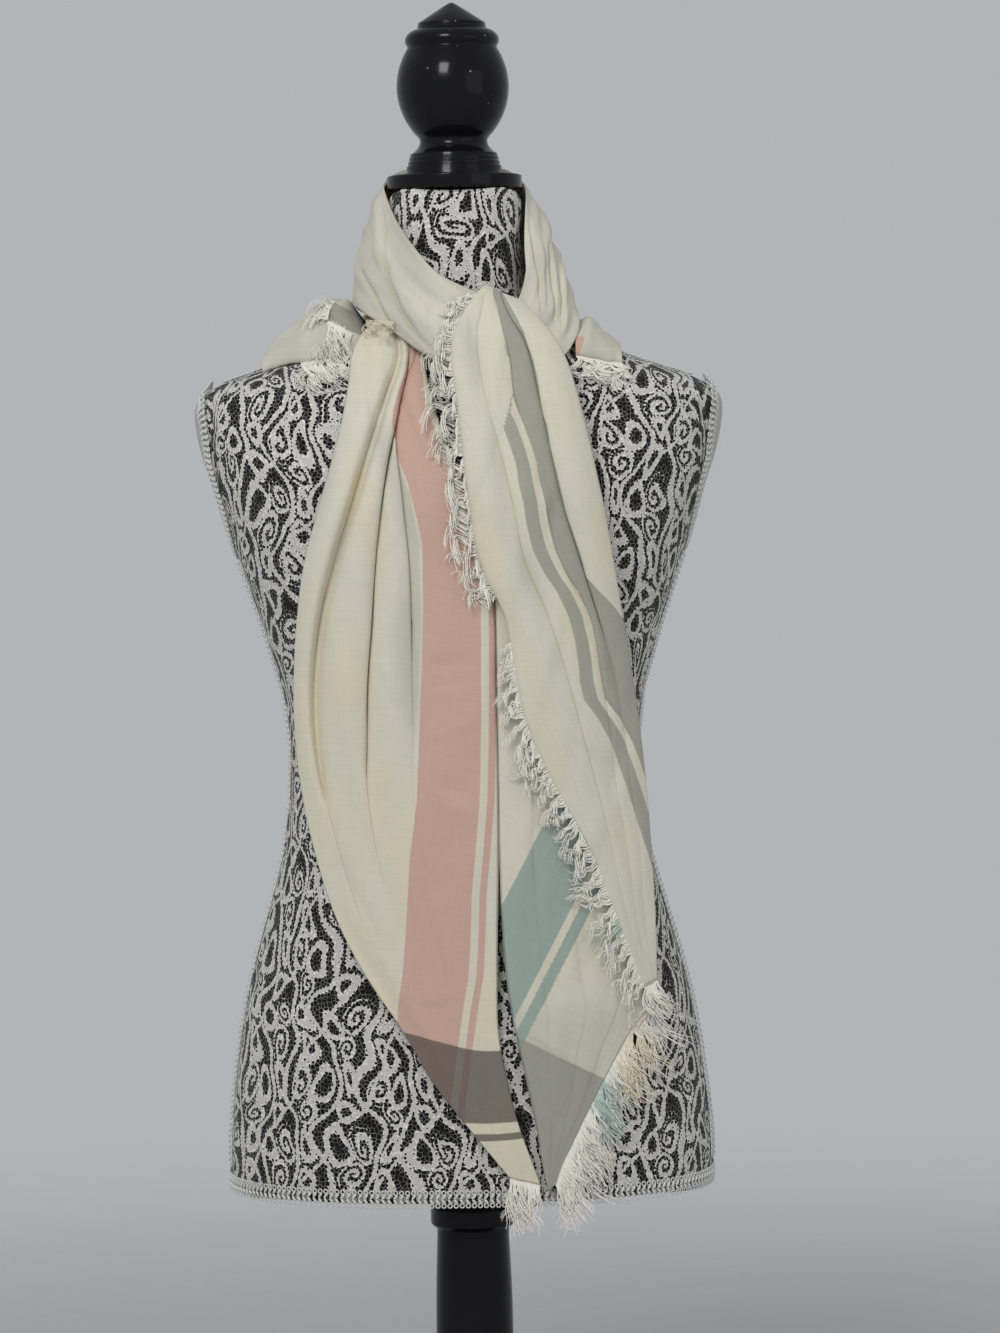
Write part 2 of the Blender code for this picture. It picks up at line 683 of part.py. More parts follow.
def add_lock(points, faces, root, middle, out_of, fringe, span):
    """Extrude one lock from a root face, outwards first and then falling and swinging."""
    away, raised = out_of(middle)
    along = away.cross(raised)
    centre = sum((points[i] for i in root), Vector()) / 4
    swing = math.sin(span * LOCK_SWING_TURN) * fringe.swing
    shorter = LOCK_LENGTH_SPREAD * (1 - math.sin(span * LOCK_LENGTH_TURN))
    length = fringe.length * (1 - shorter)
    before = root
    for share, shrink in LOCK_RINGS:
        reach = away * length * share * (1 - LOCK_CURL * share)
        drop = Vector((0.0, 0.0, -fringe.fall)) * share**LOCK_FALL_POWER
        drop = drop - raised * drop.dot(raised)
        side = along * swing * share
        ring = []
        for index in root:
            corner = points[index] - centre
            wide = along * corner.dot(along) * shrink
            thick = raised * corner.dot(raised) * shrink**LOCK_THINNING
            ring.append(len(points))
            points.append(centre + reach + drop + side + wide + thick)
        for a in range(4):
            b = (a + 1) % 4
            faces.append((before[a], before[b], ring[b], ring[a]))
        before = ring
    faces.append(tuple(before))


def edge_frame(surface, fringe, behind):
    """A function that gives the way off the cloth and the way off the form at a raw edge."""

    def out_of(point):
        start = surface(point.x, point.z, 0.0, behind)
        x, z = point.x + fringe.lean_x * PROBE, point.z + fringe.lean_z * PROBE
        end = surface(x, z, 0.0, behind)
        away = (end - start).normalized()
        rise = Vector((0.0, 1.0 if behind else -1.0, 0.0))
        return away, (rise - away * rise.dot(away)).normalized()

    return out_of


def tail_edge(rows, column):
    """The line of one edge of a tail: column left or right."""
    line = []
    for row in rows:
        z = row.z_left if column == "left" else row.z_right
        line.append(on_fall(getattr(row, column), z, row.lift))
    return line


def build_fringes(finish):
    """Every fringe, each beside its own raw edge."""
    right_edge = tail_edge(rows_of(RIGHT_TAIL, RIGHT_TAIL_READ), "left")[RIGHT_TAIL_RAW]
    build_fringe("fringe_right_tail", right_edge, on_fall, FRINGE_RIGHT_TAIL, finish)
    under_edge = tail_edge(rows_of(RIGHT_UNDER, RIGHT_UNDER_READ), "right")[RIGHT_UNDER_RAW]
    build_fringe("fringe_right_under", under_edge, on_fall, FRINGE_RIGHT_UNDER, finish)
    tip = LEFT_TAIL[-1]
    tip_edge = [on_fall(tip.left, tip.z_left, tip.lift), on_fall(tip.right, tip.z_right, tip.lift)]
    build_fringe("fringe_left_tip", tip_edge, on_fall, FRINGE_LEFT_TIP, finish)

    left_fold = [arch_line(row)[0] for row in rows_of(SHOULDER_LEFT, LEFT_FOLD_READ)[LEFT_FOLD_RAW]]
    build_fringe("fringe_shoulder_left", left_fold, on_form, FRINGE_SHOULDER_LEFT, finish)
    right_fold = [arch_line(row)[0] for row in rows_of(SHOULDER_RIGHT, RIGHT_FOLD_READ)]
    build_fringe("fringe_shoulder_right", right_fold, on_form, FRINGE_SHOULDER_RIGHT, finish)

    back_rows = rows_of(BACK_FALL, BACK_READ)[BACK_RAW]
    lines = [back_line(row, BACK_READ_COLUMNS) for row in back_rows]
    left_edge = [line[0] for line in lines]
    build_fringe("fringe_back_left", left_edge, on_fall, FRINGE_BACK_LEFT, finish, behind=True)
    right_edge = [line[-1] for line in lines]
    build_fringe("fringe_back_right", right_edge, on_fall, FRINGE_BACK_RIGHT, finish, behind=True)


def main():
    """Build the dress form, then the scarf on it."""
    clear_scene()
    wood = material("black_lacquered_wood", (0.012, 0.012, 0.013), 0.22)
    lace = material("lace_cover", (0.42, 0.41, 0.39), 0.8)
    cream = material("cream_cloth", (0.78, 0.74, 0.62), 0.9)
    sage = material("sage_cloth", (0.52, 0.54, 0.48), 0.9)
    rose = material("rose_cloth", (0.80, 0.55, 0.48), 0.9)
    thread = material("fringe_thread", (0.84, 0.81, 0.72), 0.9)

    lathe("form_base", BASE_PROFILE, BASE_SIDES, wood)
    lathe("form_column", COLUMN_PROFILE, TURNED_SIDES, wood)
    build_form(lace)
    lathe("form_finial", FINIAL_PROFILE, TURNED_SIDES, wood)

    half_seam = SEAM / 2
    build_band("scarf_neck_back", BAND_BACK, PLEATS_BACK, cream, half_seam, half_seam)
    build_band("scarf_neck_left", BAND_LEFT, PLEATS_LEFT, cream, start_gap=half_seam)
    build_band("scarf_neck_right", BAND_RIGHT, PLEATS_RIGHT, cream, start_gap=half_seam)
    build_tail("scarf_left_tail", LEFT_TAIL, rose)
    build_tail("scarf_right_under", RIGHT_UNDER, sage)
    build_tail("scarf_right_tail", RIGHT_TAIL, cream, fold_left=False, under=RIGHT_TAIL_UNDER)
    build_shoulder("scarf_shoulder_left", SHOULDER_LEFT, cream)
    build_shoulder("scarf_shoulder_right", SHOULDER_RIGHT, cream)
    build_back(cream)
    build_fringes(thread)


if __name__ == "__main__":
    main()
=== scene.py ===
"""Looks of a square scarf, half knotted round the neck of a lace-covered dress form.

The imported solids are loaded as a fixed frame. Each stretch of cloth is a thin shell on the form of
its solid, with its creases, its woven border stripes and a fringe of single threads. The dress form
gets its lace, its braid and its turned, lacquered stand.

Tables and named sizes are in millimetres, and meshes are written in metres. X runs to the right as
seen from the front, Y to the back and Z up.
"""

from __future__ import annotations

import json
import logging
import math
from dataclasses import dataclass, field
from enum import Enum
from typing import Callable, NamedTuple

import bpy
import numpy as np
from bpy.types import Material, Mesh, Node, NodeSocket, NodeTree, Object
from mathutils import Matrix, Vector

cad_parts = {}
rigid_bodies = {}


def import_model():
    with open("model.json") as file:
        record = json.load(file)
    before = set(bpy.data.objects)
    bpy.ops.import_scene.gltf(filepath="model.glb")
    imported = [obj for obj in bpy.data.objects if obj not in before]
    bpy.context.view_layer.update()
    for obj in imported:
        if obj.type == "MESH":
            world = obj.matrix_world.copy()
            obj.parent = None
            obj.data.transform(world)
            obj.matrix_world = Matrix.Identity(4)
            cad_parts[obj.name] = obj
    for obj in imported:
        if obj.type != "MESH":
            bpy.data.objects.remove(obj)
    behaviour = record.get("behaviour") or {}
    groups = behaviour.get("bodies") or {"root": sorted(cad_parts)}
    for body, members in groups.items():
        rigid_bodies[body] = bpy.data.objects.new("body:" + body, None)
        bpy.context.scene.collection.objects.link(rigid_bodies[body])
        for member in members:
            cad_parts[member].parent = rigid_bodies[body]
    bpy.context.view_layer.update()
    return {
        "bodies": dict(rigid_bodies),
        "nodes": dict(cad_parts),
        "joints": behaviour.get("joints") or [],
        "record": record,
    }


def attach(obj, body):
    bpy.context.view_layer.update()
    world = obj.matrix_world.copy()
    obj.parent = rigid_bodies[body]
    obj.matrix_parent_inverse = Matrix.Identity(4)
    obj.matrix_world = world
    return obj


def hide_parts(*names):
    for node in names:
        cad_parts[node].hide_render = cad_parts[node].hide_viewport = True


LOG = logging.getLogger("scarf")
MM = 0.001
SQUARE = 1400.0
WIDE_STRIPE = (85.5, 135.5)
THIN_STRIPE = (75.0, 80.0)
CLOTH_WALL = 1.0
LEAST_FOLD = 2.5
MOST_FOLD = 4.0
FOLD_INSET = 12.0
FOLD_SHARE = 0.28
FORM_POWER = 2.3
BODY = "root"

Grid = np.ndarray
Rgb = tuple[float, float, float]


def rows_of(kind: type, *rows: tuple) -> list:
    """Rows of one kind, each with its values in the order of the kind's columns."""
    return [kind(*row) for row in rows]


class Section(NamedTuple):
    """One level of a rounded body: half its width, and its depth in front and behind."""

    z: float
    half_width: float
    front: float
    back: float


FORM_SECTIONS = rows_of(
    Section,
    (300, 174, 110, 110), (306, 177, 113, 113), (336, 177, 115, 117), (368, 174, 116, 119),
    (400, 170, 116, 120), (437, 164, 114, 118), (473, 155, 111, 113), (510, 144, 107, 105),
    (546, 134, 103, 96), (590, 128, 99, 86), (627, 127, 98, 81), (663, 131, 101, 81),
    (714, 146, 110, 88), (758, 161, 117, 95), (802, 176, 118, 99), (831, 187, 111, 98),
    (853, 192, 103, 95), (870, 194, 95, 92), (880, 190, 90, 89), (889, 174, 85, 85),
    (897, 150, 80, 81), (905, 126, 75, 77), (914, 98, 70, 71), (923, 74, 65, 65),
    (932, 60, 58, 59), (945, 52, 53, 53), (962, 49.5, 50, 50), (1020, 49, 49, 49),
    (1027, 47.5, 47.5, 47.5),
)

FALL_SECTIONS = rows_of(
    Section,
    (270, 178, 115, 116), (336, 179, 117, 119), (400, 176, 118, 120.5), (473, 173, 118, 117.0),
    (546, 172, 118.5, 113.0), (627, 172, 118.5, 108.6), (714, 173, 118.5, 104.0),
    (770, 176, 118.5, 101.2), (802, 181, 118.5, 99.5), (831, 189, 113, 98.5), (853, 193, 106, 97),
    (870, 197, 99, 95), (885, 187, 91, 90), (903, 150, 81, 82), (914, 138, 76, 76),
    (930, 120, 68, 68), (945, 115, 62, 62), (960, 110, 58, 58),
)


@dataclass(frozen=True)
class RoundedBody:
    """A body given by rounded sections, read at any place."""

    sections: list[Section]

    def half_width(self, z: Grid) -> Grid:
        """Half the body's width at each height."""
        return self.column(z, "half_width")

    def depth(self, x: Grid, z: Grid, behind: bool) -> Grid:
        """Find how deep the body is.

        Args:
            x: Places across, in millimetres.
            z: Heights, in millimetres.
            behind: Whether to measure the back rather than the front.

        Returns:
            The depth from the middle plane at each place.
        """
        share = np.clip(np.abs(x) / self.half_width(z), 0.0, 1.0)
        full = self.column(z, "back" if behind else "front")
        return full * (1.0 - share**FORM_POWER) ** (1.0 / FORM_POWER)

    def column(self, z: Grid, name: str) -> Grid:
        """Read one column of the table at each height."""
        heights = [row.z for row in self.sections]
        return np.interp(z, heights, [getattr(row, name) for row in self.sections])


FORM = RoundedBody(FORM_SECTIONS)
FALL = RoundedBody(FALL_SECTIONS)
FORM_CLEARANCE = 0.5


def fall_depth(x: Grid, z: Grid, behind: bool) -> Grid:
    """Depth of the line that hanging cloth follows, never nearer than the form."""
    return np.maximum(FORM.depth(x, z, behind) + FORM_CLEARANCE, FALL.depth(x, z, behind))


def soften(values: Grid, passes: int) -> Grid:
    """Even out a grid of depths, with its rim kept.

    Args:
        values: Depths in rows and columns.
        passes: How often each depth moves half way to its neighbours.

    Returns:
        The evened grid.
    """
    soft = values.copy()
    for _ in range(passes):
        soft[1:-1] = 0.5 * soft[1:-1] + 0.25 * (soft[:-2] + soft[2:])
        soft[:, 1:-1] = 0.5 * soft[:, 1:-1] + 0.25 * (soft[:, :-2] + soft[:, 2:])
    return soft


def ripple(a: Grid, b: Grid, seed: int, wave_a: float, wave_b: float) -> Grid:
    """Make a smooth, uneven relief between about -1 and 1.

    Args:
        a: Places along the first way, in millimetres.
        b: Places along the second way, in millimetres.
        seed: Picks one relief.
        wave_a: Usual distance between crests along the first way.
        wave_b: Usual distance between crests along the second way.

    Returns:
        The relief at each place.
    """
    rng = np.random.default_rng(seed)
    waves = 11
    total = np.zeros(np.broadcast(a, b).shape)
    for _ in range(waves):
        turn_a = rng.uniform(0.4, 1.4) * rng.choice((-1.0, 1.0)) * math.tau / wave_a
        turn_b = rng.uniform(0.4, 1.4) * math.tau / wave_b
        total += np.sin(turn_a * a + turn_b * b + rng.uniform(0.0, math.tau))
    return total / math.sqrt(waves)


def smooth_table(rows: list[NamedTuple], count: int) -> Grid:
    """Read a table of rows at an even number of places, on a smooth curve through them.

    Args:
        rows: The table.
        count: How many rows to give back.

    Returns:
        An array with one line for each place and one column for each field.
    """
    table = np.array(rows, float)
    last = len(table) - 1
    place = np.linspace(0.0, last, count)
    index = np.minimum(place.astype(int), last - 1)
    t = (place - index)[:, None]
    a = table[np.maximum(index - 1, 0)]
    b = table[index]
    c = table[index + 1]
    d = table[np.minimum(index + 2, last)]
    return b + 0.5 * t * (c - a + t * (2 * a - 5 * b + 4 * c - d + t * (3 * (b - c) + d - a)))


def smooth_step(value: Grid, low: float, high: float) -> Grid:
    """Rise softly from 0 at low to 1 at high."""
    share = np.clip((value - low) / (high - low), 0.0, 1.0)
    return share * share * (3.0 - 2.0 * share)


def unit(vectors: Grid) -> Grid:
    """Vectors of the last axis, each made one long."""
    return vectors / np.linalg.norm(vectors, axis=-1, keepdims=True)


def lengths_along(path: Grid) -> Grid:
    """How far each point of a path lies from its start, along it."""
    return np.concatenate(([0.0], np.cumsum(np.linalg.norm(np.diff(path, axis=0), axis=1))))


def read_along(spots: Grid, lengths: Grid, values: Grid) -> Grid:
    """Values of three parts, read at some places along a path."""
    return np.stack([np.interp(spots, lengths, values[:, k]) for k in range(3)], axis=1)


def deselect_all() -> None:
    """Leave object mode with nothing selected."""
    for obj in bpy.context.view_layer.objects:
        obj.select_set(False)


def make_active(obj: Object) -> None:
    """Select one object alone and make it the active one."""
    deselect_all()
    obj.select_set(True)
    bpy.context.view_layer.objects.active = obj


def apply_modifiers(obj: Object) -> None:
    """Apply every modifier of an object, in order."""
    make_active(obj)
    for modifier in list(obj.modifiers):
        bpy.ops.object.modifier_apply(modifier=modifier.name)


def new_object(name: str, points: Grid, faces: list, finish: Material) -> Object:
    """Make one smooth mesh object.

    Args:
        name: The piece's name.
        points: Its points in millimetres, one line each.
        faces: The point numbers of each face.
        finish: Its material.

    Returns:
        The object, linked to the scene.
    """
    mesh = bpy.data.meshes.new(name)
    mesh.from_pydata((points * MM).tolist(), [], faces)
    mesh.materials.append(finish)
    mesh.shade_smooth()
    obj = bpy.data.objects.new(name, mesh)
    bpy.context.scene.collection.objects.link(obj)
    return obj


def dress(obj: Object, slot: str, *nodes: str) -> Object:
    """Let a piece ride on the body, in place of the nodes that it stands for."""
    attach(obj, BODY)
    if nodes:
        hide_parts(*nodes)
    return obj


def grid_faces(rows: int, columns: int) -> list[tuple[int, int, int, int]]:
    """Faces of an open grid of points."""
    return [
        (r * columns + c, r * columns + c + 1, (r + 1) * columns + c + 1, (r + 1) * columns + c)
        for r in range(rows - 1)
        for c in range(columns - 1)
    ]


@dataclass
class ClothGrid:
    """A stretch of cloth as a grid: where it hangs, and where each point lies on the flat square."""

    points: Grid
    place: Grid
    tone: Grid


def sheet_object(name: str, grid: ClothGrid, finish: Material) -> Object:
    """Make a closed thin shell from a grid of cloth.

    Args:
        name: The piece's name.
        grid: The cloth, in millimetres.
        finish: Its material.

    Returns:
        The shell, with the place on the square as its UV map and its tone, with painted shade in places, as
        an attribute.
    """
    rows, columns = grid.points.shape[:2]
    obj = new_object(name, grid.points.reshape(-1, 3), grid_faces(rows, columns), finish)
    mesh = obj.data
    corners = np.empty(len(mesh.loops), np.int32)
    mesh.loops.foreach_get("vertex_index", corners)
    layer = mesh.uv_layers.new(name="square")
    layer.data.foreach_set("uv", (grid.place.reshape(-1, 2)[corners] * MM).astype(np.float32).ravel())
    tone = mesh.attributes.new("tone", "FLOAT", "POINT")
    tone.data.foreach_set("value", grid.tone.astype(np.float32).ravel())
    wall = obj.modifiers.new("wall", "SOLIDIFY")
    wall.thickness = CLOTH_WALL * MM
    wall.offset = 0.0
    apply_modifiers(obj)
    return obj


class NodeWriter:
    """Writes the nodes of one material or group."""

    def __init__(self, tree: NodeTree) -> None:
        """Keep the tree that gets the nodes."""
        self.tree = tree

    def add(self, kind: str, **settings: object) -> Node:
        """Add a node and set its properties."""
        node = self.tree.nodes.new(kind)
        for name, value in settings.items():
            setattr(node, name, value)
        return node

    def put(self, socket: NodeSocket, value: object) -> None:
        """Feed a socket with another socket, a number or a colour."""
        if isinstance(value, NodeSocket):
            self.tree.links.new(value, socket)
        elif isinstance(value, tuple) and len(value) == 3 and socket.type == "RGBA":
            socket.default_value = (*value, 1.0)
        else:
            socket.default_value = value

    def math(self, operation: str, *values: object, clamp: bool = False) -> NodeSocket:
        """Work out one number from others."""
        node = self.add("ShaderNodeMath", operation=operation, use_clamp=clamp)
        for socket, value in zip(node.inputs, values):
            self.put(socket, value)
        return node.outputs[0]

    def plus(self, a: object, b: object) -> NodeSocket:
        """Add two numbers."""
        return self.math("ADD", a, b)

    def minus(self, a: object, b: object) -> NodeSocket:
        """Take one number from another."""
        return self.math("SUBTRACT", a, b)

    def times(self, a: object, b: object) -> NodeSocket:
        """Multiply two numbers."""
        return self.math("MULTIPLY", a, b)

    def vector(self, operation: str, *values: object) -> NodeSocket:
        """Work out one vector from others."""
        node = self.add("ShaderNodeVectorMath", operation=operation)
        for socket, value in zip(node.inputs, values):
            self.put(socket, value)
        return node.outputs[0]

    def mix(self, factor: object, a: object, b: object, blend: str = "MIX") -> NodeSocket:
        """Mix two colours."""
        node = self.add("ShaderNodeMix", data_type="RGBA", blend_type=blend)
        for index, value in ((0, factor), (6, a), (7, b)):
            self.put(node.inputs[index], value)
        return node.outputs[2]

    def mix_value(self, factor: object, a: float, b: float) -> NodeSocket:
        """Blend two plain values."""
        return self.math("MULTIPLY_ADD", factor, b - a, a)

    def step(self, value: object, low: float, high: float) -> NodeSocket:
        """Rise softly from 0 at low to 1 at high."""
        node = self.add("ShaderNodeMapRange", interpolation_type="SMOOTHSTEP")
        for index, part in ((0, value), (1, low), (2, high)):
            self.put(node.inputs[index], part)
        return node.outputs[0]

    def noise(self, place: object, scale: float, detail: float = 2.0) -> NodeSocket:
        """Uneven values between 0 and 1."""
        node = self.add("ShaderNodeTexNoise")
        for name, value in (("Vector", place), ("Scale", scale), ("Detail", detail)):
            self.put(node.inputs[name], value)
        return node.outputs[0]

    def voronoi(self, place: object, scale: float, feature: str) -> Node:
        """A pattern of flat cells."""
        node = self.add("ShaderNodeTexVoronoi", voronoi_dimensions="2D", feature=feature)
        self.put(node.inputs["Vector"], place)
        self.put(node.inputs["Scale"], scale)
        return node

    def combine(self, x: object, y: object, z: object = 0.0) -> NodeSocket:
        """Join three numbers to a vector."""
        node = self.add("ShaderNodeCombineXYZ")
        for socket, value in zip(node.inputs, (x, y, z)):
            self.put(socket, value)
        return node.outputs[0]

    def split(self, value: object) -> list[NodeSocket]:
        """Take a vector apart."""
        node = self.add("ShaderNodeSeparateXYZ")
        self.put(node.inputs[0], value)
        return list(node.outputs)

    def uv(self, layer: str) -> NodeSocket:
        """The piece's own UV map."""
        return self.add("ShaderNodeUVMap", uv_map=layer).outputs[0]

    def attribute(self, name: str) -> Node:
        """An attribute of the piece."""
        return self.add("ShaderNodeAttribute", attribute_name=name)

    def bump(self, height: object, strength: float, distance: float) -> NodeSocket:
        """A normal raised by a height, in millimetres."""
        node = self.add("ShaderNodeBump")
        for name, value in (("Strength", strength), ("Distance", distance * MM), ("Height", height)):
            self.put(node.inputs[name], value)
        return node.outputs[0]

    def place_group(self, group: NodeTree, **values: object) -> Node:
        """Place a node group and feed its inputs."""
        node = self.add("ShaderNodeGroup", node_tree=group)
        for name, value in values.items():
            self.put(node.inputs[name], value)
        return node


class Sockets(NamedTuple):
    """The named inputs and outputs of a node group, each with its kind."""

    inputs: dict[str, str]
    outputs: dict[str, str]


VALUE = "NodeSocketFloat"
VECTOR = "NodeSocketVector"


def new_group(name: str, sockets: Sockets) -> tuple[NodeWriter, Node, Node]:
    """Start a node group.

    Args:
        name: The group's name.
        sockets: Its inputs and outputs.

    Returns:
        A writer for its nodes, its input node and its output node.
    """
    tree = bpy.data.node_groups.new(name, "ShaderNodeTree")
    for label, kind in sockets.inputs.items():
        tree.interface.new_socket(name=label, in_out="INPUT", socket_type=kind)
    for label, kind in sockets.outputs.items():
        tree.interface.new_socket(name=label, in_out="OUTPUT", socket_type=kind)
    writer = NodeWriter(tree)
    return writer, writer.add("NodeGroupInput"), writer.add("NodeGroupOutput")


def new_material(name: str, roughness: float) -> tuple[Material, NodeWriter, Node]:
    """Start a material.

    Args:
        name: The material's name.
        roughness: Its roughness where nothing else says so.

    Returns:
        The material, a writer for its nodes and its Principled shader.
    """
    material = bpy.data.materials.new(name)
    material.use_nodes = True
    shader = material.node_tree.nodes["Principled BSDF"]
    shader.inputs["Roughness"].default_value = roughness
    return material, NodeWriter(material.node_tree), shader


def border_stripe_group() -> NodeTree:
    """A wide stripe with a thin one outside it, by the distance from a raw edge in millimetres."""
    w, given, out = new_group("border_stripe", Sockets({"Distance": VALUE}, {"Mask": VALUE}))
    edge = 0.5
    masks = []
    for low, high in (WIDE_STRIPE, THIN_STRIPE):
        rise = w.step(given.outputs["Distance"], low - edge, low + edge)
        fall = w.step(given.outputs["Distance"], high + edge, high - edge)
        masks.append(w.times(rise, fall))
    w.put(out.inputs["Mask"], w.math("ADD", *masks, clamp=True))
    return w.tree


def weave_group() -> NodeTree:
    """Plain weave: its height, and how uneven its threads are."""
    sockets = Sockets({"Place": VECTOR, "Pitch": VALUE}, {"Height": VALUE, "Slub": VALUE})
    w, given, out = new_group("plain_weave", sockets)
    x, y, _ = w.split(given.outputs["Place"])
    waves = []
    for along in (x, y):
        turns = w.math("DIVIDE", w.times(along, 1000.0 * math.tau), given.outputs["Pitch"])
        waves.append(w.math("SINE", turns))
    w.put(out.inputs["Height"], w.times(*waves))
    warp = w.noise(w.combine(w.times(x, 900.0), w.times(y, 40.0)), 1.0)
    weft = w.noise(w.combine(w.times(x, 40.0), w.times(y, 900.0), 3.7), 1.0)
    w.put(out.inputs["Slub"], w.minus(w.plus(warp, weft), 1.0))
    return w.tree


class LaceRing(NamedTuple):
    """A tapered ring of the lace, in millimetres and degrees."""

    x: float
    y: float
    wide: float
    tall: float
    tilt: float
    taper: float
    half: float


class LaceCurl(NamedTuple):
    """A spiral of the lace, wound to one hand or the other."""

    x: float
    y: float
    wide: float
    tall: float
    tilt: float
    hand: int


class LaceWave(NamedTuple):
    """A winding band of the lace: two waves upon a line that may lean one repeat over."""

    x: float
    sway: float
    phase: float
    small_sway: float
    small_phase: float
    lean: int
    half: float


LACE_REPEAT = (58.0, 92.0)
LACE_RINGS = rows_of(
    LaceRing,
    (20, 66, 6.6, 10.4, 8, 0.28, 1.7), (8, 20, 6.4, 10.2, -10, 0.30, 1.7),
    (29, 24, 3.7, 8.6, 4, -0.3, 1.45), (57.5, 70, 3.9, 9.0, -5, 0.3, 1.45),
    (27, 90, 5.2, 8.6, -14, -0.35, 1.6), (56, 44, 5.4, 9.0, 16, 0.35, 1.6),
)
LACE_CURLS = rows_of(
    LaceCurl,
    (37, 69, 4.9, 7.2, 14, 1), (50, 21, 4.9, 7.4, -14, -1), (30, 45, 5.2, 7.0, -20, -1),
    (1, 93, 5.0, 6.8, 22, 1),
)
LACE_WAVES = rows_of(
    LaceWave,
    (14.5, 7.4, 0.1, 2.2, 0.9, 0, 1.7), (43.5, 7.2, 3.2, 2.4, 2.0, 0, 1.7),
    (30, 4.0, 1.2, 2.0, 0.2, 1, 1.4),
)


@dataclass
class LacePattern:
    """Writes the scroll lace as distances to its bands, below zero inside a band."""

    w: NodeWriter

    def local(self, place: object, shape: LaceRing | LaceCurl) -> tuple:
        """Place about a shape's centre, turned by its tilt and repeated."""
        wide, tall = LACE_REPEAT
        moved = self.w.vector("SUBTRACT", place, (shape.x, shape.y, 0.0))
        half = (wide / 2, tall / 2, 1.0)
        wrapped = self.w.vector("WRAP", moved, half, tuple(-part for part in half))
        turned = self.w.add("ShaderNodeVectorRotate", rotation_type="Z_AXIS")
        self.w.put(turned.inputs["Vector"], wrapped)
        self.w.put(turned.inputs["Angle"], -math.radians(shape.tilt))
        return self.w.split(turned.outputs[0])[:2]

    def reach(self, across: object, up: object, shape: LaceRing | LaceCurl) -> object:
        """Distance from a shape's centre, where 1 is its outline."""
        scaled = self.w.combine(
            self.w.math("DIVIDE", across, shape.wide), self.w.math("DIVIDE", up, shape.tall)
        )
        node = self.w.vector("LENGTH", scaled).node
        return node.outputs["Value"]

    def ring(self, place: object, shape: LaceRing) -> object:
        """Distance to a tapered ring."""
        across, up = self.local(place, shape)
        widen = self.w.math("MULTIPLY_ADD", up, shape.taper / shape.tall, 1.0)
        reach = self.reach(self.w.times(across, widen), up, shape)
        off = self.w.math("ABSOLUTE", self.w.minus(reach, 1.0))
        return self.w.math("MULTIPLY_ADD", off, shape.wide, -shape.half)

    def curl(self, place: object, shape: LaceCurl) -> object:
        """Distance to a spiral."""
        across, up = self.local(place, shape)
        reach = self.reach(across, up, shape)
        turn = self.w.times(self.w.math("ARCTAN2", up, across), shape.hand / math.tau)
        wound = self.w.math("FRACT", self.w.plus(self.w.plus(reach, 4.25), turn))
        off = self.w.math("ABSOLUTE", self.w.minus(wound, 0.5))
        band = self.w.times(self.w.minus(off, 0.25), shape.wide)
        rim = self.w.times(self.w.minus(reach, 1.75), shape.wide)
        return self.w.math("MAXIMUM", band, rim)

    def wave(self, place: object, shape: LaceWave) -> object:
        """Distance to a winding band."""
        wide, tall = LACE_REPEAT
        across, up, _ = self.w.split(place)
        turn = self.w.times(up, math.tau / tall)
        line = self.w.math("MULTIPLY_ADD", up, shape.lean * wide / tall, shape.x)
        swings = ((shape.sway, 1.0, shape.phase), (shape.small_sway, 2.0, shape.small_phase))
        for sway, times, phase in swings:
            swing = self.w.math("SINE", self.w.math("MULTIPLY_ADD", turn, times, phase))
            line = self.w.math("MULTIPLY_ADD", swing, sway, line)
        off = self.w.math("WRAP", self.w.minus(across, line), wide / 2, -wide / 2)
        return self.w.math("MULTIPLY_ADD", self.w.math("ABSOLUTE", off), 0.85, -shape.half)

    def distance(self, place: object) -> object:
        """Distance to the nearest band."""
        parts = [self.ring(place, shape) for shape in LACE_RINGS]
        parts += [self.curl(place, shape) for shape in LACE_CURLS]
        parts += [self.wave(place, shape) for shape in LACE_WAVES]
        nearest = parts[0]
        for part in parts[1:]:
            nearest = self.w.math("MINIMUM", nearest, part)
        return nearest


